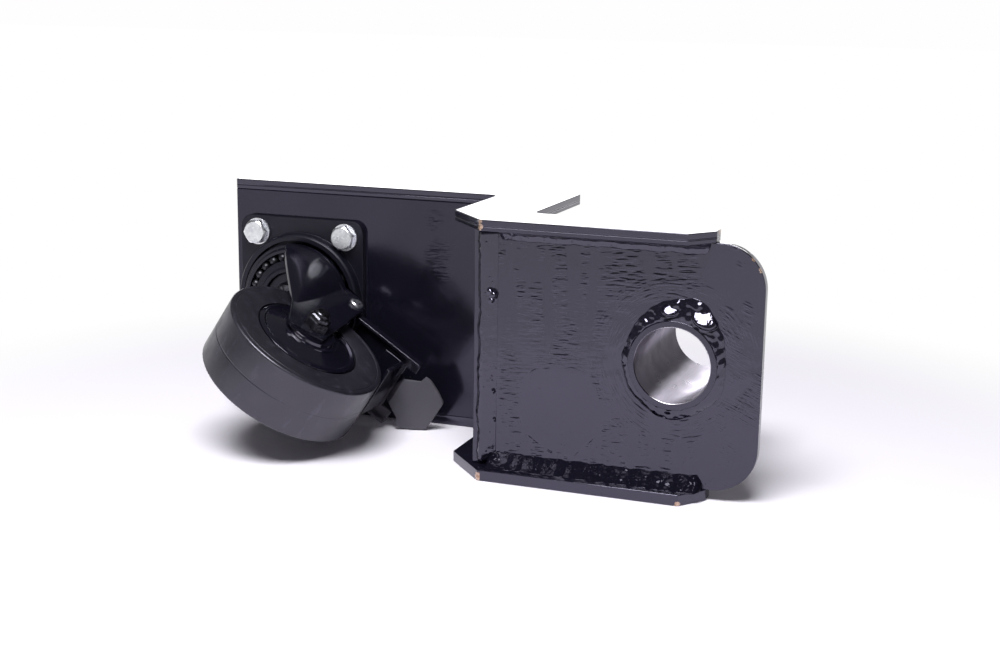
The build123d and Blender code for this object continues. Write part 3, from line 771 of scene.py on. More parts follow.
def rounded(corners: Sequence[tuple[float, float, float]], steps: int = 6) -> list[tuple[float, float]]:
    """A closed outline with its corners rounded by arcs.

    An arc's centre lies on the corner's bisector, so that both sides are tangents; a radius too large
    for its sides is cut down to fit.

    Args:
        corners: (x, y, radius) of each corner.
        steps: points on each arc.

    Returns:
        The outline's points.
    """
    out: list[tuple[float, float]] = []
    for i, (x, y, radius) in enumerate(corners):
        p = np.array((x, y))
        a, b = (np.array(corners[(i + k) % len(corners)][:2]) - p for k in (-1, 1))
        la, lb = np.linalg.norm(a), np.linalg.norm(b)
        a, b = a / la, b / lb
        half = math.acos(float(np.clip(a @ b, -1, 1))) / 2
        if radius <= 0 or half > math.pi / 2 - 0.01:
            out.append((x, y))
            continue
        run = min(radius / math.tan(half), 0.49 * min(la, lb))
        radius = run * math.tan(half)
        middle = p + (a + b) / np.linalg.norm(a + b) * radius / math.sin(half)
        start, end = p + a * run - middle, p + b * run - middle
        first = math.atan2(start[1], start[0])
        sweep = (math.atan2(end[1], end[0]) - first + math.pi) % (2 * math.pi) - math.pi
        for angle in first + np.linspace(0, 1, steps) * sweep:
            out.append((float(middle[0] + radius * math.cos(angle)),
                        float(middle[1] + radius * math.sin(angle))))
    return out


def eased(name: str, node: str, width: float, segments: int = 2) -> Object:
    """A copy of a solid with its doubled points merged and its edges broken by a small bevel.

    Args:
        name: the object's name.
        node: the solid that it copies.
        width: the bevel's width, metres.
        segments: the bevel's steps.

    Returns:
        The object.
    """
    mesh = frame["nodes"][node].data.copy()
    mesh.name = name
    if mesh.has_custom_normals:
        mesh.attributes.remove(mesh.attributes["custom_normal"])
    work = bmesh.new()
    work.from_mesh(mesh)
    bmesh.ops.remove_doubles(work, verts=work.verts, dist=2e-6)
    bmesh.ops.dissolve_limit(work, angle_limit=math.radians(0.6), verts=work.verts, edges=work.edges)
    work.to_mesh(mesh)
    work.free()
    mesh.polygons.foreach_set("use_smooth", np.ones(len(mesh.polygons), bool))
    thing = new_object(name, mesh)
    bevel = thing.modifiers.new("edge", "BEVEL")
    bevel.width, bevel.segments = width, segments
    bevel.limit_method, bevel.angle_limit = "ANGLE", math.radians(30)
    bevel.use_clamp_overlap = True
    even = thing.modifiers.new("normals", "WEIGHTED_NORMAL")
    even.keep_sharp, even.weight = False, 100
    return thing


def waves(u: np.ndarray, v: np.ndarray, seed: int, count: int, short: float, long: float,
          loop: float = 0.0) -> np.ndarray:
    """A smooth random height, about -1 to 1: the sum of many cosines of random direction and length.

    Args:
        u: distance along, metres.
        v: distance across, metres.
        seed: picks the random set.
        count: number of cosines.
        short: shortest wave, metres.
        long: longest wave, metres.
        loop: if not 0, u runs round a loop of this length, and every wave closes on itself.

    Returns:
        The heights.
    """
    rng = np.random.default_rng(seed)
    length = short * (long / short) ** rng.random(count)
    heading = rng.random(count) * 2 * np.pi
    fu, fv = np.cos(heading) / length, np.sin(heading) / length
    if loop:
        fu = np.round(fu * loop) / loop
    phase = rng.random(count) * 2 * np.pi
    total = np.cos(2 * np.pi * (u[..., None] * fu + v[..., None] * fv) + phase) * np.sqrt(length / long)
    return total.sum(-1) / math.sqrt(count)


def blobs(u: np.ndarray, v: np.ndarray, seed: int, count: int, length: float, width: float,
          sizes: Point) -> np.ndarray:
    """Spatter: round bumps at random places on a strip, each a Gaussian of its own size and height.

    Args:
        u: distance along the strip, metres.
        v: distance across it, metres.
        seed: picks the random set.
        count: number of bumps.
        length: the strip's length.
        width: the strip's width.
        sizes: smallest and largest radius, and the height as a share of the radius.

    Returns:
        The heights.
    """
    rng = np.random.default_rng(seed)
    at_u, at_v = rng.random(count) * length, rng.random(count) * width
    size = sizes[0] + (sizes[1] - sizes[0]) * rng.random(count) ** 2
    gap = (u[..., None] - at_u) ** 2 + (v[..., None] - at_v) ** 2
    return (sizes[2] * size * np.exp(-gap / (0.6 * size) ** 2)).max(-1)


# ------------------------------------------------------------------ dressing
def wear(thing: Object, material: Material) -> None:
    """Gives the whole object one material."""
    thing.data.materials.clear()
    thing.data.materials.append(material)


def dress(nodes: Sequence[str], material: Material) -> None:
    """Gives CAD nodes that stay visible one material.

    Args:
        nodes: their names.
        material: what they wear.
    """
    for name in nodes:
        node = frame["nodes"][name]
        if not node.material_slots:
            node.data.materials.append(material)
        for place in node.material_slots:
            place.material = material
        log.info("dressed %s with %s", name, material.name)


def keep(thing: Object, material: Material, body: str, slot: str, *nodes: str) -> None:
    """Finishes a piece: its material, its body and the solids that it stands for.

    Args:
        thing: the piece.
        material: what it wears.
        body: it moves with this body.
        slot: the record's slot of its finish; not used.
        nodes: the solids that it replaces.
    """
    wear(thing, material)
    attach(thing, body)
    if nodes:
        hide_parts(*nodes)
    log.info("piece %s rides on %s and stands for %s", thing.name, body, ", ".join(nodes) or "nothing")


# ------------------------------------------------------------------ weld beads
@dataclass(frozen=True)
class BeadStyle:
    """How a fillet weld was laid.

    Attributes:
        bulge: how far its middle stands off the chord between its toes.
        lump: height of its lumps.
        lump_waves: shortest and longest wave of the lumps.
        wander: how far its toes stray, as a share of the legs.
        spatter: number of small bumps.
        spatter_size: smallest and largest radius, and the height as a share of the radius.
        drops: single drops, each (distance along, share of the way across, size).
        calm: how much smoother its first third is, as a share.
    """
    bulge: float
    lump: float
    lump_waves: tuple[float, float]
    wander: float
    spatter: int
    spatter_size: Point
    drops: tuple[Point, ...]
    calm: float = 0.0


def drops(*places: Point) -> tuple[Point, ...]:
    """Single drops, given as (mm along, share across, size in mm)."""
    return tuple((along * MM, across, size * MM) for along, across, size in places)


SMOOTH_BEAD = BeadStyle(bulge=-0.9 * MM, lump=0.10 * MM, lump_waves=(5 * MM, 22 * MM), wander=0.05,
                        spatter=16, spatter_size=(0.3 * MM, 0.7 * MM, 0.6),
                        drops=drops((5, 0.8, 1.8), (9, 0.5, 1.2)))
UPRIGHT_BEAD = BeadStyle(bulge=0.10 * MM, lump=0.10 * MM, lump_waves=(4 * MM, 20 * MM), wander=0.01,
                         spatter=40, spatter_size=(0.25 * MM, 0.6 * MM, 0.6),
                         drops=drops((101, 0.75, 2.6), (103, 0.5, 1.8), (98, 0.6, 1.6), (44, 0.8, 1.3),
                                     (27, 0.9, 1.2)))
ROUGH_BEAD = BeadStyle(bulge=0.1 * MM, lump=0.34 * MM, lump_waves=(3.0 * MM, 14 * MM), wander=0.05,
                       spatter=240, spatter_size=(0.2 * MM, 0.6 * MM, 0.6), calm=0.75,
                       drops=drops((5, 0.7, 2.2), (124, 0.8, 2.6), (130, 0.5, 2.4), (136, 0.3, 2.0)))


@dataclass(frozen=True)
class Fillet:
    """A fillet weld in a straight corner.

    Across, a point goes from one toe (v = 0) to the other (v = 1) along the chord between them, lifted by
    a half sine for the bulge; along, lumps, spatter and single drops are added, and both ends close down
    to the corner line. Where it laps over the first plate's edge, a strip of even rise goes on past the
    first toe and slopes down to the plate along a wavy line.

    Attributes:
        name: of the piece.
        style: how it was laid.
        leg_a: leg on the first plate.
        leg_b: leg on the second plate.
        seed: picks its random sets.
        lap: how far it laps past the corner line, on the first plate's edge; 0 for none.
        lap_rise: how far the strip's edge drops down to the plate.
        lap_run: over what distance it does so.
        sink: how far the bead's hidden sides lie inside the plates.
    """
    name: str
    style: BeadStyle
    leg_a: float
    leg_b: float
    seed: int
    lap: float = 0.0
    lap_rise: float = 2.9 * MM
    lap_run: float = 2.6 * MM
    sink: float = 0.25 * MM

    def height(self, u: np.ndarray, v: np.ndarray, length: float) -> np.ndarray:
        """How far the bead stands off its chord.

        Args:
            u: distance along.
            v: share of the way across.
            length: of the bead.

        Returns:
            The height at each point, metres.
        """
        s = self.style
        across = v * math.hypot(self.leg_a, self.leg_b)
        lumps = waves(u, across, self.seed + 2, 40, *s.lump_waves)
        spots = blobs(u, across, self.seed + 3, s.spatter, length, across.max(), s.spatter_size)
        for at_u, at_v, size in s.drops:
            gap = (u - at_u) ** 2 + (across - at_v * across.max()) ** 2
            spots = np.maximum(spots, 0.9 * size * np.exp(-gap / (0.75 * size) ** 2))
        fade = np.sin(np.pi * np.clip(v, 0, 1)) ** 0.6
        wild = 1 - s.calm * (1 - np.clip(u / length - 0.35, 0, 0.5) / 0.5)
        return fade * (s.bulge * np.sin(np.pi * v) + s.lump * wild * lumps + spots)

    def lapped(self, toe: np.ndarray, u: np.ndarray, close: np.ndarray, a: np.ndarray,
               b: np.ndarray) -> np.ndarray:
        """The strip past the first toe: level, then down a slope whose edge strays along the bead.

        Args:
            toe: (steps, 1, 3) points of the first toe.
            u: (steps, 1) distances along.
            close: (steps, 1) share of the full size, which falls to 0 at both ends.
            a: unit direction of the first plate.
            b: unit direction of the second plate.

        Returns:
            The strip's points, from its far edge to the toe.
        """
        far = self.lap * (1 + 0.20 * waves(u[:, 0], u[:, 0] * 0, self.seed + 7, 18, 5 * MM, 30 * MM))[:, None]
        climb = np.linspace(0, 1, 7)
        level = np.linspace(0.9, 0.1, 6)
        out_by = np.concatenate([far - self.lap_run * climb, (far - self.lap_run) * level], 1)
        rise = self.lap_rise * (np.concatenate([climb, np.ones(level.size)]) - 1) + 0 * far
        rise = rise + 0.05 * MM * waves(u + 0 * rise, out_by, self.seed + 9, 24, 3 * MM, 14 * MM)
        return toe - (out_by * close)[..., None] * b + (rise * close)[..., None] * a

    def straight(self, start: Point, along: Point, side_a: Point, side_b: Point, length: float) -> Object:
        """A bead along a straight corner.

        Args:
            start: where the corner line starts.
            along: unit direction of the corner line.
            side_a: unit direction in which the first plate leaves the corner.
            side_b: the same for the second plate.
            length: of the bead.

        Returns:
            The object.
        """
        steps, across = 620, 30
        o, t, a, b = (np.array(p, float) for p in (start, along, side_a, side_b))
        u, v = np.meshgrid(np.linspace(0, length, steps), np.linspace(0, 1, across), indexing="ij")
        end = 0.55 * self.leg_b
        close = np.sqrt(np.clip(1 - np.clip(1 - np.minimum(u, length - u) / end, 0, 1) ** 2, 0, 1))
        edge = 1 + self.style.wander * waves(u, v * 0, self.seed, 12, 4 * MM, 20 * MM)
        out = (a * self.leg_b + b * self.leg_a) / math.hypot(self.leg_a, self.leg_b)
        chord = (1 - v)[..., None] * a * self.leg_a + v[..., None] * b * self.leg_b
        lift = (close * self.height(u, v, length))[..., None] * out
        points = o + u[..., None] * t + (close * edge)[..., None] * chord + lift
        back = o + u[:, :1, None] * t - self.sink * (a + b)
        first, last = points[:, :1] - self.sink * b, points[:, -1:] - self.sink * a
        parts = [first, points, last, back]
        if self.lap:
            strip = self.lapped(points[:, :1], u[:, :1], close[:, :1], a, b)
            parts[:1] = [strip[:, :1] - self.sink * a, strip]
        return surface(self.name, np.concatenate(parts, 1), wrap_columns=True)


@dataclass(frozen=True)
class RingBead:
    """The weld round the sleeve's end: uneven, with runs of lumps and broad drops at the top.

    In polar coordinates about the sleeve, the bead's outer toe is a base radius plus Gaussian swells at
    some angles and slow waves. Its height falls from the sleeve's end to the toe as 1 - v to a power, v
    being the share of the way out. Lumps are added where the bead ran rough, and each drop is a flat
    facet that leans outwards, merged in with a soft maximum.

    Attributes:
        name: of the piece.
        inner: radius of the sleeve's outside.
        rise: height at the sleeve.
        toe: base radius of the outer toe.
        swells: where the toe lies farther out, each (angle, half width in degrees, distance).
        rough: where lumps stand, each (angle, half width in degrees, share).
        drops: each (angle in degrees, radius of its middle, size, height).
        lean: slopes of the drops' facets along X and Z.
        lump: height of the lumps.
        merge: how softly the drops run into the bead.
        seed: picks its random sets.
        sink: how far its hidden sides lie inside plate and sleeve.
    """
    name: str
    inner: float
    rise: float
    toe: float = 29.6 * MM
    swells: tuple[Point, ...] = ((66, 20, 9.6 * MM), (98, 20, 6.6 * MM), (36, 15, 2.6 * MM),
                                 (128, 16, 1.8 * MM), (-92, 26, 1.8 * MM), (-30, 16, 1.6 * MM))
    rough: tuple[Point, ...] = ((150, 45, 1.35), (22, 30, 1.35), (66, 30, 0.6), (-98, 22, 1.0))
    drops: tuple[tuple[float, float, float, float], ...] = (
        (93, 31.4 * MM, 6.0 * MM, 3.7 * MM), (60, 33.2 * MM, 9.0 * MM, 3.9 * MM),
        (126, 27.6 * MM, 2.6 * MM, 2.9 * MM))
    lean: tuple[float, float] = (0.20, 0.745)
    lump: float = 0.55 * MM
    merge: float = 0.12 * MM
    seed: int = 51
    sink: float = 0.25 * MM

    def swelling(self, angle: np.ndarray, bells: Sequence[Point]) -> np.ndarray:
        """The sum of bell curves round the circle.

        Args:
            angle: radians.
            bells: (angle, half width, height) of each, in degrees.

        Returns:
            The sum at each angle.
        """
        total = np.zeros_like(angle)
        for at, wide, high in bells:
            gap = (np.degrees(angle) - at + 180) % 360 - 180
            total = total + high * np.exp(-(gap / wide) ** 2)
        return total

    def facet(self, x: np.ndarray, z: np.ndarray, drop: tuple[float, float, float, float]) -> np.ndarray:
        """Height of one drop: a leaning plane with shallow dents that falls away steeply past its size.

        Args:
            x: across the plate, from the sleeve's axis.
            z: up the plate, from the sleeve's axis.
            drop: its row of drops.

        Returns:
            The height at each point.
        """
        at, radius, size, top = drop
        c, s = math.cos(math.radians(at)), math.sin(math.radians(at))
        dx, dz = x - radius * c, z - radius * s
        gap = np.hypot(dx * s - dz * c, 1.5 * (dx * c + dz * s))
        dents = (0.09 * MM * waves(x, z, self.seed + 5, 20, 3.5 * MM, 8 * MM)
                 + 0.04 * MM * waves(x, z, self.seed + 8, 40, 1.4 * MM, 2.8 * MM))
        return 0.75 * top - self.lean[0] * dx - self.lean[1] * dz + dents - top * (gap / size) ** 6

    def height(self, x: np.ndarray, z: np.ndarray, angle: np.ndarray, v: np.ndarray) -> np.ndarray:
        """How far the bead stands off the plate.

        Args:
            x: across the plate, from the sleeve's axis.
            z: up the plate, from the sleeve's axis.
            angle: about the axis, radians.
            v: share of the way from the sleeve to the toe.

        Returns:
            The height at each point, 0 at the toe.
        """
        rough = 0.22 + np.clip(self.swelling(angle, self.rough), 0, 1)
        fade = np.clip(v / 0.12, 0, 1) * np.clip((1 - v) / 0.18, 0, 1)
        lumps = self.lump * waves(x, z, self.seed + 2, 60, 3.4 * MM, 14 * MM)
        height = self.rise * (1 - v ** 1.9) + fade * rough * lumps
        for drop in self.drops:
            height = np.logaddexp(height / self.merge, self.facet(x, z, drop) / self.merge) * self.merge
        return np.where(v > 0.999, 0.0, np.maximum(height, 0.02 * MM))

    def build(self, centre: Point, face: float) -> Object:
        """The bead.

        Args:
            centre: of the sleeve, on its axis.
            face: y of the plate's face.

        Returns:
            The object.
        """
        steps, across = 1100, 40
        around = np.linspace(0, 2 * np.pi, steps, endpoint=False)
        angle, v = np.meshgrid(around, np.linspace(0, 1, across), indexing="ij")
        u = angle * self.toe
        edge = 0.55 * MM * waves(u, v * 0, self.seed, 14, 4 * MM, 24 * MM, 2 * np.pi * self.toe)
        r = self.inner + v * (self.toe + self.swelling(angle, self.swells) + edge - self.inner)
        x, z = r * np.cos(angle), r * np.sin(angle)
        points = np.stack([centre[0] + x, face - self.height(x, z, angle, v), centre[2] + z], -1)
        under = np.stack([np.cos(around), np.zeros(steps), np.sin(around)], -1) * (self.inner - self.sink)
        under = under + np.array(centre)
        top, back = under.copy(), under.copy()
        top[:, 1], back[:, 1] = points[:, 0, 1], face + self.sink
        toe_under = points[:, -1:] + np.array([0, self.sink, 0])
        loop = np.concatenate([top[:, None], points, toe_under, back[:, None]], 1)
        return surface(self.name, loop, wrap_rows=True, wrap_columns=True)


# ------------------------------------------------------------------ the bracket
@dataclass
class Bracket:
    """The welded bracket: two Z plates, the arm, the riser, the sleeve's plate, the sleeve and its welds.

    Attributes:
        edge: width of the plates' broken edges.
        sleeve_edge: width of the sleeve's broken edges.
        tab_left: x of the side plates' front left corners.
        cut_below: how far the upper plate's cut line lies below its top.
        rough_legs: legs of the long lower bead, as shares of the others.
    """
    edge: float = 0.45 * MM
    sleeve_edge: float = 0.5 * MM
    tab_left: float = -110.0 * MM
    cut_below: float = 3.7 * MM
    rough_legs: tuple[float, float] = (1.55, 1.05)

    def chips(self) -> dict[str, tuple[Spot, ...]]:
        """Where the paint is knocked off, worked out from the plates' corners.

        Returns:
            The spots of each plate that has some.
        """
        low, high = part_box("side_plate_upper")
        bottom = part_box("side_plate_lower")[0].z
        face, free_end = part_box("bush_plate")[0].y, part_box("bush_plate")[1].x
        rows = {"side_plate_upper": ((self.tab_left, low.y, low.z + 2.2 * MM, 2.2),
                                     (self.tab_left, low.y, high.z - 0.8 * MM, 1.5),
                                     (high.x, -38 * MM, high.z - 1 * MM, 1.6)),
                "side_plate_lower": ((self.tab_left, low.y, bottom + 2.4 * MM, 2.6),
                                     (9.4 * MM, low.y, bottom + 1.0 * MM, 1.8)),
                "bush_plate": ((free_end - 6.5 * MM, face, 63 * MM, 2.0),
                               (free_end - 2.5 * MM, face, 57 * MM, 1.8),
                               (free_end - 10 * MM, face, 66 * MM, 1.2))}
        return {node: tuple(Spot((x, y, z), r * MM) for x, y, z, r in spots) for node, spots in rows.items()}

    def runs(self) -> tuple[Spot, ...]:
        """Three short patches where the paint ran on the arm."""
        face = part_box("arm_plate")[0].y
        places = ((-180.0, 57.0, 11.0), (-176.0, 38.0, 13.0), (-174.0, 25.0, 9.0))
        return tuple(Spot((x * MM, face, z * MM), r * MM) for x, z, r in places)

    def plates(self) -> None:
        """Breaks the plates' edges and paints them; the arm's paint is duller than the rest."""
        cut_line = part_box("side_plate_upper")[1].z - self.cut_below
        own = {"side_plate_upper": {"cut_line": cut_line},
               "side_plate_lower": {},
               "bush_plate": {"ripple": Ripple.SLEEVE_PLATE, "front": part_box("bush_plate")[0].y},
               "arm_plate": {"ripple": Ripple.RUNS, "runs": self.runs(), "specular": 0.50, "roughness": 0.12},
               "riser_web": {}}
        chips = self.chips()
        for node, values in own.items():
            finish = GlossPaint("gloss_" + node, chips=chips.get(node, ()), **values)
            plate = eased(node + "_painted", node, self.edge)
            keep(plate, finish.build(), "bracket", "bracket_paint", node)

    def sleeve(self) -> None:
        """The post sleeve, bare inside."""
        bore = frame["record"]["mounts"][0]["dims"]["r_mm"] * MM
        tube = eased("post_sleeve_turned", "post_sleeve", self.sleeve_edge, 3)
        keep(tube, SleeveFinish("sleeve_steel", bore).build(), "bracket", "sleeve_steel", "post_sleeve")

    def face(self) -> float:
        """Y of the sleeve plate's front face, on which the welds lie."""
        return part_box("weld_upper")[1].y

    def long_beads(self) -> tuple[Object, Object]:
        """The beads under the upper side plate and over the lower one.

        Returns:
            The upper and the lower bead.
        """
        low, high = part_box("weld_upper")
        face, leg = self.face(), high.z - low.z
        upper = Fillet("weld_upper_bead", SMOOTH_BEAD, leg, leg, 11).straight(
            (low.x, face, high.z), (1, 0, 0), (0, -1, 0), (0, 0, -1), high.x - low.x + 3 * MM)
        low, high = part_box("weld_lower")
        legs = (share * leg for share in self.rough_legs)
        lower = Fillet("weld_lower_bead", ROUGH_BEAD, *legs, 23).straight(
            (low.x - 5 * MM, face, low.z), (1, 0, 0), (0, -1, 0), (0, 0, 1), high.x - low.x + 9 * MM)
        return upper, lower

    def riser_bead(self) -> Object:
        """The upright bead, which laps over the riser web's front edge.

        Returns:
            The bead.
        """
        low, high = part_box("weld_riser")
        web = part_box("riser_web")
        lap = web[1].x - web[0].x - 2.4 * MM
        bead = Fillet("weld_riser_bead", UPRIGHT_BEAD, high.y - low.y + 2.8 * MM, high.x - low.x, 37, lap)
        return bead.straight((low.x, self.face(), low.z), (0, 0, 1), (0, -1, 0), (1, 0, 0), high.z - low.z)

    def ring_bead(self) -> Object:
        """The bead round the sleeve, which ends just short of the sleeve's rim."""
        sleeve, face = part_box("post_sleeve"), self.face()
        return RingBead("weld_sleeve_bead", sleeve[1].x, face - sleeve[0].y - 0.6 * MM).build((0, 0, 0), face)

    def welds(self) -> None:
        """The four welds, each with its own paint."""
        upper, lower = self.long_beads()
        for bead, paint, node in (
                (upper, WeldPaint("weld_gloss_smooth", sparkle=0.0, pits=1.1), "weld_upper"),
                (lower, WeldPaint("weld_gloss_rough", 0.08 * MM, sparkle=1.0, specular=0.12), "weld_lower"),
                (self.riser_bead(), WeldPaint("weld_gloss_riser", sparkle=0.1), "weld_riser"),
                (self.ring_bead(), WeldPaint("weld_gloss_ring", 0.04 * MM, sparkle=0.2), "weld_sleeve")):
            keep(bead, paint.build(), "bracket", "weld_paint", node)

    def build(self) -> None:
        """Everything fixed to the gate's post."""
        self.plates()
        self.sleeve()
        self.welds()


# ------------------------------------------------------------------ the caster
def joint(name: str) -> tuple[Vector, Vector]:
    """A joint's place and the direction of its axis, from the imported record."""
    row = next(j for j in frame["record"]["behaviour"]["joints"] if j["name"] == name)
    return Vector(row["pos_m"]), Vector(row["axis"]).normalized()


def framed(origin: Vector, *axes: Vector) -> Matrix:
    """The transform from a frame, given by its origin and its three axes, to the part's."""
    place = Matrix(axes).transposed().to_4x4()
    place.translation = origin
    return place


def caster_axes() -> tuple[Vector, Vector, Vector]:
    """The caster's own directions.

    Returns:
        The way it trails, the way its axle points, and the way it drops from the arm.
    """
    hub, axle = joint("wheel_spin")
    drop = Vector((0, -1, 0))
    trail = axle.cross(drop)
    if (hub - joint("swivel")[0]).dot(trail) < 0:
        trail.negate()
    return trail, axle, drop


def swivel_frame() -> Matrix:
    """From the swivel axis' own frame, x trailing, y along the axle and z down, to the part's."""
    pivot = joint("swivel")[0]
    return framed(Vector((pivot.x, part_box("arm_plate")[0].y, pivot.z)), *caster_axes())


def axle_frame() -> Matrix:
    """From the axle's own frame, x trailing and z along the axle, to the part's."""
    trail, axle, drop = caster_axes()
    return framed(joint("wheel_spin")[0], trail, -drop, axle)


@dataclass
class SwivelHead:
    """Top plate, races, balls and kingpin.

    Attributes:
        edge: width of the top plate's broken edges.
        bolt_edge: width of the mounting bolts' and nuts' broken edges.
        race_bore: radius of the lower race's bore.
        race_cone: how far its upper part is narrower than its flange.
        race_steps: corners of its flange, each (in from the rim, up from the bottom, radius), mm.
        ring_in: how far inside the rim the raised ring's inner wall stands.
        nut_flats: width of the kingpin's nut across flats.
        nut_high: its height.
        nut_drop: how far below the arm it sits.
        nut_chamfer: drop of its corners at the free end.
    """
    edge: float = 0.8 * MM
    bolt_edge: float = 0.35 * MM
    race_bore: float = 8.1 * MM
    race_cone: float = 0.9 * MM
    race_steps: tuple[Point, ...] = ((0.9, 3.0, 0.4), (0.0, 2.6, 0.4), (0.0, 1.6, 0.5), (4.0, 1.3, 0.8),
                                     (5.0, 0.0, 0.9), (7.6, 0.0, 0.8))
    ring_in: float = 8.3 * MM
    nut_flats: float = 24.0 * MM
    nut_high: float = 6.5 * MM
    nut_drop: float = 16.95 * MM
    nut_chamfer: float = 1.2 * MM

    def race_outline(self) -> list[tuple[float, float]]:
        """Section of the lower race: cone, flange and the raised ring round the nut.

        Returns:
            The outline as (radius, drop) from the arm.
        """
        low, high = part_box("lower_race")
        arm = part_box("arm_plate")[0].y
        top, bottom, rim = arm - high.y, arm - low.y, (high.x - low.x) / 2
        flange = [(rim - inward * MM, bottom - up * MM, r * MM) for inward, up, r in self.race_steps]
        return rounded([(self.race_bore, top, 0), (rim - self.race_cone, top, 0.5 * MM), *flange,
                        (rim - self.ring_in, self.nut_drop, 0.6 * MM), (self.race_bore, self.nut_drop, 0)])

    def build(self, black: Material, zinc: Material, steel: Material, dark: Material) -> None:
        """The head, bolted to the arm.

        Args:
            black: paint of the top plate and the lower race.
            zinc: plating of the mounting bolts, their nuts and washers.
            steel: of the balls.
            dark: of the kingpin and its nut.
        """
        plate = eased("caster_plate_pressed", "caster_plate", self.edge, 3)
        keep(plate, black, "bracket", "caster_paint", "caster_plate")
        for node in ("plate_bolts", "plate_nuts"):
            keep(eased(node + "_zinc", node, self.bolt_edge), zinc, "bracket", "zinc", node)
        dress(["plate_washers"], zinc)
        dress(["upper_balls", "lower_balls"], steel)
        dress(["kingpin"], dark)
        place = swivel_frame()
        race = turned("lower_race_turned", self.race_outline(), place, 180)
        keep(race, black, "bracket", "steel", "lower_race")
        rings = [(0, 0), (1, 0), (1, self.nut_high), (0.88, self.nut_high), (0, self.nut_high)]
        seat = place @ Matrix.Translation((0, 0, self.nut_drop))
        nut = hexed("kingpin_nut_hexed", seat, self.nut_flats, rings, self.nut_chamfer)
        keep(nut, dark, "bracket", "steel", "kingpin_nut")


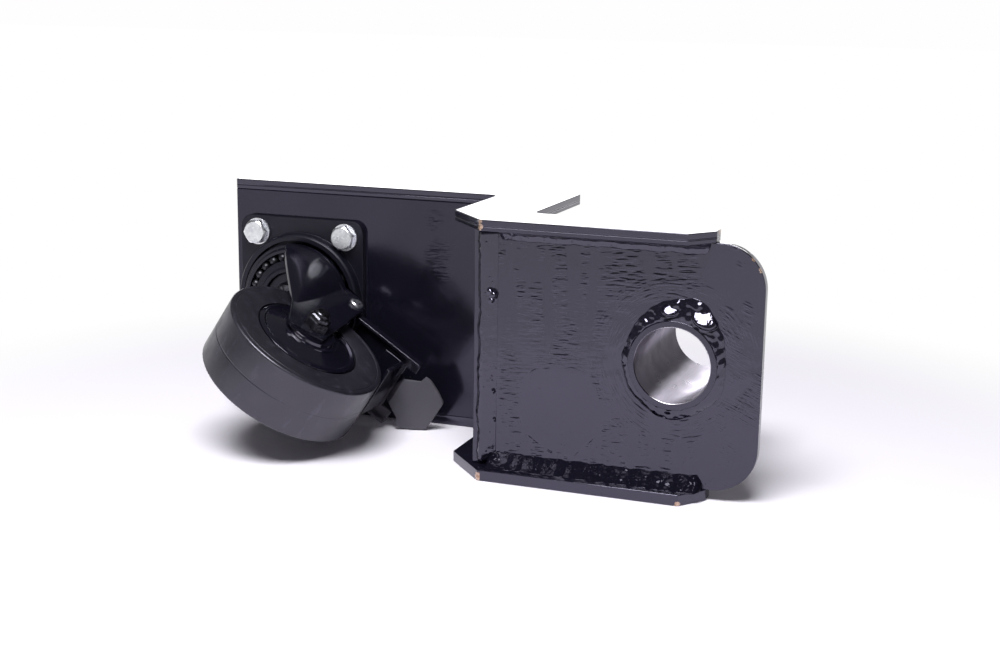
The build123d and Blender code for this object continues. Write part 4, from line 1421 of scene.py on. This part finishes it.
@dataclass
class Fork:
    """The pressed fork with its axle: a crown, and two legs that swell out to its rim at the front.

    Lengths t run along the trail, s along the axle and drop down from the arm, all from the swivel axis.

    Attributes:
        thick: thickness of the pressing.
        edge: radius of the legs' edges.
        crown: radius of the crown.
        crown_hole: radius of the hole in it.
        collar: inner and outer radius of the collar below it.
        crown_drops: drops of the crown's top and underside, of its rim's end and of the collar's end.
        leg_out: s of the leg's outer face at the axle.
        top: drop of the leg's top.
        shoulder_end: drop at which the shoulder has run out.
        levels: shares of the shoulder's height at which its sizes are given.
        lead: t of the leading edge at the levels, mm.
        crease: t at which the shoulder ends, at the levels, mm.
        lead_proud: how far the leading edge stands out from leg_out at the levels, mm.
        middle_proud: the same for the shoulder's middle.
        back: t of the back edge at the top and at the shoulder's end.
        ear: t of the back edge above a drop, and that drop.
        tip_front: t and drop of the blade's front lower corner.
        tip_back: t and drop of its back lower corner.
        tip_round: radius of both corners.
        nut: s of the axle nut's seat and of its end.
        nut_flats: its width across flats.
        nut_turn: its turn about the axle, radians.
        bolt_edge: width of the axle bolt's broken edges.
    """
    thick: float = 3 * MM
    edge: float = 0.7 * MM
    crown: float = 37.5 * MM
    crown_hole: float = 24.6 * MM
    collar: tuple[float, float] = (32.25 * MM, 35.0 * MM)
    crown_drops: tuple[float, float, float, float] = (10.2 * MM, 12.5 * MM, 13.7 * MM, 17.0 * MM)
    leg_out: float = 29 * MM
    top: float = 11.3 * MM
    shoulder_end: float = 73.6 * MM
    levels: tuple[float, ...] = (0.0, 0.455, 0.743, 1.0)
    lead: tuple[float, ...] = (-24.0, -12.0, 3.0, 17.0)
    crease: tuple[float, ...] = (23.8, 23.6, 22.6, 21.0)
    lead_proud: tuple[float, ...] = (-0.2, 4.0, 2.2, 0.0)
    middle_proud: tuple[float, ...] = (8.5, 5.6, 2.8, 0.0)
    back: tuple[float, float] = (43.4 * MM, 50.3 * MM)
    ear: tuple[float, float] = (36.5 * MM, 16.9 * MM)
    tip_front: tuple[float, float] = (30.4 * MM, 99.9 * MM)
    tip_back: tuple[float, float] = (53.0 * MM, 92.6 * MM)
    tip_round: float = 3 * MM
    nut: tuple[float, float] = (29.0 * MM, 37.3 * MM)
    nut_flats: float = 14.3 * MM
    nut_turn: float = 0.3
    bolt_edge: float = 0.3 * MM

    def along(self, values: tuple[float, ...], share: np.ndarray) -> np.ndarray:
        """The smooth cubic through a size at the shoulder's levels, in metres."""
        return np.polyval(np.polyfit(self.levels, values, 3), share) * MM

    def rows(self, upper: int, lower: int) -> tuple[np.ndarray, ...]:
        """Where the leg's rows start and end: first down the shoulder, then fanned out over the blade.

        Args:
            upper: number of rows on the shoulder.
            lower: number of rows on the blade.

        Returns:
            Four arrays, one value a row: t of the leading edge, t of the back edge, and their drops.
        """
        share = np.linspace(0, 1, upper)
        low = np.linspace(0, 1, lower + 1)[1:] ** 0.8
        shoulder = self.top + share * (self.shoulder_end - self.top)
        drop_lead, drop_back = (np.r_[shoulder, self.shoulder_end + low * (tip[1] - self.shoulder_end)]
                                for tip in (self.tip_front, self.tip_back))
        blade_lead = self.lead[-1] * MM
        lead = np.r_[self.along(self.lead, share), blade_lead + low * (self.tip_front[0] - blade_lead)]
        back = np.r_[self.back[0] + share * (self.back[1] - self.back[0]),
                     self.back[1] + low * (self.tip_back[0] - self.back[1])]
        back = np.where(drop_back < self.ear[1], self.ear[0], back)
        to_end = np.r_[np.full(upper, 1.0), (1 - low) * (self.tip_front[1] - self.shoulder_end)]
        near_end = np.clip(self.tip_round - to_end, 0, None)
        inset = self.tip_round - np.sqrt(np.clip(self.tip_round ** 2 - near_end ** 2, 0, None))
        return lead + inset, back - inset, drop_lead, drop_back

    def leg(self, name: str, place: Matrix, side: int) -> Object:
        """One leg, as a wall round a grid of rows that go down from the crown to the blade's tip.

        In a row, the outer face is a parabola from the leading edge over the shoulder's middle to the
        crease, then flat to the back edge; the inner face is the same, one thickness in; quarter circles
        join the two. Below the shoulder the rows fan out to the blade's slanted end, whose corners are
        rounded by drawing the row's ends in.

        Args:
            name: the object's name.
            place: from the swivel's frame to the part's.
            side: 1 for the leg towards +s, -1 for the other.

        Returns:
            The object.
        """
        upper, lower, across = 102, 48, 90
        lead, back, drop_lead, drop_back = (row[:, None] for row in self.rows(upper, lower))
        share = np.r_[np.linspace(0, 1, upper), np.ones(lower)][:, None]
        on_shoulder = np.r_[np.ones(upper), np.zeros(lower)][:, None]
        crease = np.maximum(self.along(self.crease, share), lead + 2 * MM)
        t = lead + self.edge + np.linspace(0, 1, across) * (back - lead - 2 * self.edge)
        p = np.clip((t - lead) / (crease - lead), 0, 1)
        proud = (self.along(self.lead_proud, share) * (1 - p) * (1 - 2 * p)
                 + 4 * self.along(self.middle_proud, share) * p * (1 - p))
        s_out = self.leg_out + on_shoulder * proud
        down = drop_lead + (t - lead) / (back - lead) * (drop_back - drop_lead)
        turn = np.linspace(0, np.pi / 2, 5)[None, :-1]

        def rim(at: int, way: int, outer: bool) -> np.ndarray:
            """A quarter circle from the edge's side to a face, or back again."""
            level = s_out[:, at:at + 1] if outer else s_out[:, at:at + 1] - self.thick
            inwards = (-1 if outer else 1) * self.edge * (1 - np.sin(turn))
            return np.stack([t[:, at:at + 1] + way * self.edge * np.cos(turn), level + inwards,
                             np.broadcast_to(down[:, at:at + 1], (upper + lower, turn.size))], -1)

        last = across - 1
        outer = np.stack([t, s_out, down], -1)
        inner = np.stack([t, s_out - self.thick, down], -1)[:, ::-1]
        ring = np.concatenate([rim(0, -1, True), outer, rim(last, 1, True)[:, ::-1], rim(last, 1, False),
                               inner, rim(0, -1, False)[:, ::-1]], 1)
        caps = np.broadcast_to(ring[[0, -1]].mean(1, keepdims=True), ring[[0, -1]].shape)
        ring = np.concatenate([caps[:1], ring, caps[1:]], 0)
        ring[..., 1] *= side
        return surface(name, carried(ring, place), wrap_columns=True)

    def crown_outline(self) -> list[tuple[float, float]]:
        """Section of the crown with its collar, as (radius, drop)."""
        top, under, rim_end, collar_end = self.crown_drops
        inside, outside = self.collar
        return rounded([(self.crown_hole, top, 0.3 * MM), (self.crown, top, 1.2 * MM),
                        (self.crown, rim_end, 0.5 * MM), (outside + 0.2 * MM, rim_end, 0.4 * MM),
                        (outside, collar_end, 0.7 * MM), (inside, collar_end, 0.5 * MM),
                        (inside, under, 0.3 * MM), (self.crown_hole, under, 0.3 * MM)])

    def build(self, black: Material, dark: Material, bright: Material) -> None:
        """The fork.

        Args:
            black: its paint.
            dark: oiled steel of the axle bolt, nut and bush.
            bright: of the brake's riveted pin.
        """
        place = swivel_frame()
        crown = turned("fork_crown", self.crown_outline(), place, 180)
        legs = [self.leg("fork_leg_near", place, 1), self.leg("fork_leg_far", place, -1)]
        for thing in (crown, *legs):
            sharp_by_angle(thing, 40)
        keep(crown, black, "swivel", "caster_paint", "fork")
        for thing in legs:
            keep(thing, black, "swivel", "caster_paint")
        bolt = eased("axle_bolt_dark", "axle_bolt", self.bolt_edge)
        keep(bolt, dark, "swivel", "steel", "axle_bolt")
        seat, end = self.nut
        h = end - seat
        rings = [(0, 0), (1, 0), (1, 0.62 * h), (0.80, 0.66 * h), (0.78, 0.9 * h), (0.68, h), (0, h)]
        at_seat = axle_frame() @ Matrix.Translation((0, 0, seat))
        nut = hexed("axle_nut_hexed", at_seat, self.nut_flats, rings, chamfer=0.0, spin=self.nut_turn)
        keep(nut, dark, "swivel", "steel", "axle_nut")
        dress(["axle_bush"], dark)
        dress(["brake_pin"], bright)


@dataclass
class Wheel:
    """Tread, centre and the stepped covers beside it, turned about the axle.

    Attributes:
        half: half the tread's width.
        radius: of the tread.
        bore: radius of the tread's bore.
        round_edge: radius of the tread's edges.
        seam: height of its mould line.
        cover_face: where a cover's rim lies, from the wheel's middle, mm.
        cover_top: where its hub ends, mm.
        cover_hole: radius of its hole, mm.
    """
    half: float = 19.5 * MM
    radius: float = 51.5 * MM
    bore: float = 33.5 * MM
    round_edge: float = 3.0 * MM
    seam: float = 0.35 * MM
    cover_face: float = 18.6
    cover_top: float = 25.98
    cover_hole: float = 5.1

    def tread_outline(self) -> list[tuple[float, float]]:
        """Section of the tread: one half is bore, stepped face, round edge and seam; the other mirrors it.

        Returns:
            The outline as (radius, distance along the axle).
        """
        r, h, e = self.radius, self.half, self.round_edge
        corners = [(self.bore, h - 0.5 * MM, 0), (self.bore, h, 0.35 * MM), (r - e - 0.6 * MM, h, 0.3 * MM),
                   (r - e - 0.3 * MM, h - 0.25 * MM, 0.2 * MM), (r - e, h - 0.1 * MM, 0.3 * MM),
                   (r - 0.05 * MM, h - 0.3 * MM, e), (r, self.seam * 1.6, 0.2 * MM),
                   (r - self.seam * 0.5, 0, 0)]
        half = rounded(corners, 7)
        half[0] = (self.bore, 0.0)
        return half + [(a, -b) for a, b in half[-2:0:-1]]

    def cover_outline(self) -> list[tuple[float, float]]:
        """Section of a cover: rolled lip, groove, second roll, cone, and stacked rings at the hub.

        Returns:
            The outline as (radius, distance along the axle).
        """
        rolls = [(32.5, 0.0, 0.3), (32.5, 0.9, 0.4), (30.4, 2.1, 0.9), (28.4, 1.3, 0.8), (26.4, 1.9, 0.9),
                 (18.2, 4.4, 0.5), (17.8, 5.2, 0.4), (15.4, 5.5, 0.4)]
        backs = [(14.2, 4.4, 0.3), (16.8, 4.1, 0.3), (17.2, 3.3, 0.3), (26.0, 0.8, 0.6), (28.4, 0.2, 0.4),
                 (30.4, 1.0, 0.4), (31.4, 0.0, 0.2)]
        outer, inner = ([(r, self.cover_face + up, bend) for r, up, bend in row] for row in (rolls, backs))
        under = self.cover_top - 1.2
        hub = [(15.0, self.cover_top, 0.4), (self.cover_hole, self.cover_top, 0), (self.cover_hole, under, 0),
               (13.8, under, 0.3)]
        return [(a * MM, b * MM) for a, b in rounded(outer + hub + inner, 5)]

    def build(self, rubber: Material, core: Material, cover: Material, steel: Material) -> None:
        """The wheel.

        Args:
            rubber: of the tread.
            core: of the wheel centre.
            cover: of the thread guards.
            steel: of the rollers.
        """
        place = axle_frame()
        keep(turned("tyre_moulded", self.tread_outline(), place, 256), rubber, "wheel", "tread", "tyre")
        flip = Matrix.Diagonal((1, 1, -1, 1))
        for name, at in (("cover_near", place), ("cover_far", place @ flip)):
            piece = turned(name, self.cover_outline(), at, 200)
            keep(piece, cover, "swivel", "caster_paint", "thread_guards")
        dress(["wheel_core"], core)
        dress(["rollers"], steel)


@dataclass
class Brake:
    """Lever, shoe and return spring.

    Attributes:
        edge: width of the broken edges.
        corner: how far the pedal's corners are cut back.
        pedal: how far from the lever's tip the pedal's corners lie at most.
        sheet: the sheet's thickness is less than this.
        upright: an edge runs through the sheet if this share of it lies along Y.
    """
    edge: float = 0.4 * MM
    corner: float = 6.0 * MM
    pedal: float = 16 * MM
    sheet: float = 5 * MM
    upright: float = 0.85

    def round_pedal(self, lever: Object) -> None:
        """Rounds the corners of the pedal's outline.

        The short edges through the sheet, no further than the pedal's length from its tip, get a wide
        bevel.

        Args:
            lever: the lever with its pedal.
        """
        mesh = lever.data
        ends = np.empty(2 * len(mesh.edges), np.int32)
        mesh.edges.foreach_get("vertices", ends)
        places = np.empty(3 * len(mesh.vertices))
        mesh.vertices.foreach_get("co", places)
        first, second = (places.reshape(-1, 3)[ends[way::2]] for way in (0, 1))
        span = second - first
        length = np.linalg.norm(span, axis=1)
        reach = (first + second) / 2 @ np.array(caster_axes()[0])
        through = (np.abs(span[:, 1]) > self.upright * length) & (length < self.sheet)
        chosen = through & (reach > reach.max() - self.pedal)
        weights = mesh.attributes.new("bevel_weight_edge", "FLOAT", "EDGE")
        weights.data.foreach_set("value", chosen.astype(np.float32))
        bevel = lever.modifiers.new("corners", "BEVEL")
        bevel.width, bevel.segments, bevel.limit_method = self.corner, 5, "WEIGHT"
        lever.modifiers.move(len(lever.modifiers) - 1, 0)

    def build(self, black: Material, steel: Material) -> None:
        """The brake.

        Args:
            black: paint of lever and shoe.
            steel: of the spring.
        """
        lever = eased("brake_lever_pressed", "brake_lever", self.edge)
        self.round_pedal(lever)
        keep(lever, black, "brake", "pedal", "brake_lever")
        shoe = eased("brake_shoe_pressed", "brake_shoe", self.edge)
        keep(shoe, black, "brake", "caster_paint", "brake_shoe")
        dress(["brake_spring"], steel)


# ------------------------------------------------------------------ the studio
@dataclass(frozen=True)
class Lamp:
    """A soft rectangular lamp.

    Attributes:
        name: of the lamp.
        place: its centre.
        size: width and height.
        radiance: how bright its face is, where 1 is white.
    """
    name: str
    place: Point
    size: tuple[float, float]
    radiance: float

    def build(self, aim: Point) -> None:
        """Hangs the lamp.

        Args:
            aim: the point that it faces.
        """
        data = bpy.data.lights.new(self.name, "AREA")
        data.shape, data.size, data.size_y = "RECTANGLE", *self.size
        data.energy = self.radiance * math.pi * self.size[0] * self.size[1]
        lamp = bpy.data.objects.new(self.name, data)
        bpy.context.scene.collection.objects.link(lamp)
        lamp.location = self.place
        lamp.rotation_euler = (Vector(aim) - Vector(self.place)).to_track_quat("-Z", "Y").to_euler()
        lamp.visible_camera = False


@dataclass
class Studio:
    """Pale floor, soft lamps and the camera.

    Attributes:
        middle: the point that the lamps face and the shadow lies round.
        floor_size: side of the floor.
        paper: colour of the floor.
        white_from: distance from the middle up to which the floor is paper.
        white_by: distance from which it is plain white.
        sky: colour of the world.
        dim: the world's strength where it isn't white.
        lamps: a key lamp overhead and a long, low one behind.
        eye: the camera's place, on the object's front right and a little above it.
        azimuth: its turn about the vertical.
        elevation: how far it looks down.
        roll: its turn about its own axis.
        lens: its focal length, mm.
    """
    middle: Point = (-0.12, 0.0, 0.0)
    floor_size: float = 14.0
    paper: Colour = (0.92, 0.8924, 0.9752)
    white_from: float = 0.24
    white_by: float = 0.50
    sky: Colour = (1.0, 0.99, 1.0)
    dim: float = 0.10
    lamps: tuple[Lamp, ...] = (Lamp("overhead", (-0.05, -0.72, 1.20), (0.80, 0.52), 20.5),
                               Lamp("behind", (-0.80, 2.00, 0.34), (2.2, 0.40), 3.0))
    eye: Point = (0.2012, -0.8666, 0.2053)
    azimuth: float = math.radians(20.28)
    elevation: float = math.radians(12.66)
    roll: float = math.radians(0.82)
    lens: float = 56.19

    def floor(self) -> None:
        """A pale floor that keeps the object's shadow near it and turns to plain white farther out."""
        h, z = self.floor_size / 2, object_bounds()[0].z - 0.2 * MM
        g = Graph("floor_paper")
        rays = g.add("ShaderNodeLightPath").outputs
        seen = g.math("MAXIMUM", rays["Is Camera Ray"], rays["Is Glossy Ray"])
        seen = g.math("MAXIMUM", seen, rays["Is Transmission Ray"])
        away = g.distance((self.middle[0], self.middle[1], z))
        far = g.times(seen, g.spread(away, self.white_from, self.white_by))
        paper = g.add("ShaderNodeBsdfDiffuse", {"Color": rgba(self.paper)})
        white = g.add("ShaderNodeEmission", {"Color": (1, 1, 1, 1), "Strength": 1.0})
        sheet = bpy.data.meshes.new("floor")
        sheet.from_pydata([(-h, -h, z), (h, -h, z), (h, h, z), (-h, h, z)], [], [(0, 1, 2, 3)])
        floor = new_object("floor", sheet)
        wear(floor, g.finish(g.mixed(far, paper, white)))
        floor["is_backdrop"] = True

    def world(self) -> None:
        """White for the camera; for other rays white low down behind the object and dim elsewhere."""
        g = Graph("studio", of_world=True)
        way = g.add("ShaderNodeSeparateXYZ", {0: g.coordinates["Generated"]}).outputs
        low, behind = g.spread(way["Z"], 0.30, 0.18, soft=False), g.spread(way["Y"], -0.35, 0.45, soft=False)
        glow = g.spread(g.times(low, behind), 0.0, 1.0, self.dim, 1.0, soft=False)
        rays = g.add("ShaderNodeLightPath").outputs
        strength = g.math("MAXIMUM", rays["Is Camera Ray"], glow)
        sky = g.add("ShaderNodeBackground", {"Color": rgba(self.sky), "Strength": strength})
        bpy.context.scene.world = g.finish(sky, "ShaderNodeOutputWorld")

    def camera(self) -> None:
        """The camera."""
        data = bpy.data.cameras.new("camera")
        data.lens, data.sensor_width = self.lens, 36.0
        camera = bpy.data.objects.new("camera", data)
        bpy.context.scene.collection.objects.link(camera)
        camera.matrix_world = (Matrix.Translation(self.eye) @ Matrix.Rotation(self.azimuth, 4, "Z")
                               @ Matrix.Rotation(math.pi / 2 - self.elevation, 4, "X")
                               @ Matrix.Rotation(self.roll, 4, "Z"))
        bpy.context.scene.camera = camera

    def build(self) -> None:
        """The whole studio."""
        self.floor()
        self.world()
        for lamp in self.lamps:
            lamp.build(self.middle)
        self.camera()
        bpy.context.scene.view_settings.view_transform = "Standard"


def main() -> None:
    """Builds the sub-assemblies in order."""
    logging.basicConfig(level=logging.INFO, format="%(name)s: %(message)s")
    black = PressedPaint("caster_black", specular=0.40).build()
    satin = PressedPaint("top_plate_black", roughness=0.36, specular=0.36).build()
    # the lever's pedal carries a painted reflection of the floor in its satin part
    lever = PressedPaint("lever_black", specular=0.85, roughness=0.16,
                         satin_and_reflection_from=(-200.7 * MM, -30 * MM, -47.0 * MM), satin_and_reflection_way=(0.505, 0.0, -0.863)).build()
    zinc = PlatedSteel("zinc_plate", (0.90, 0.91, 0.95), (0.74, 0.75, 0.80), 0.26).build()
    steel = PlatedSteel("oily_balls", (0.07, 0.07, 0.08), (0.04, 0.04, 0.05), 0.38).build()
    dark = PlatedSteel("oiled_steel", (0.10, 0.10, 0.115), (0.05, 0.05, 0.06), 0.25).build()
    rubber = TreadRubber("tread").build()
    core = PressedPaint("core_black", roughness=0.25).build()
    cover = PressedPaint("cover_black", roughness=0.05, specular=0.8).build()
    Bracket().build()
    SwivelHead().build(satin, zinc, steel, dark)
    Fork().build(black, dark, zinc)
    Wheel().build(rubber, core, cover, steel)
    Brake().build(lever, steel)
    Studio().build()


if __name__ == "__main__":
    main()
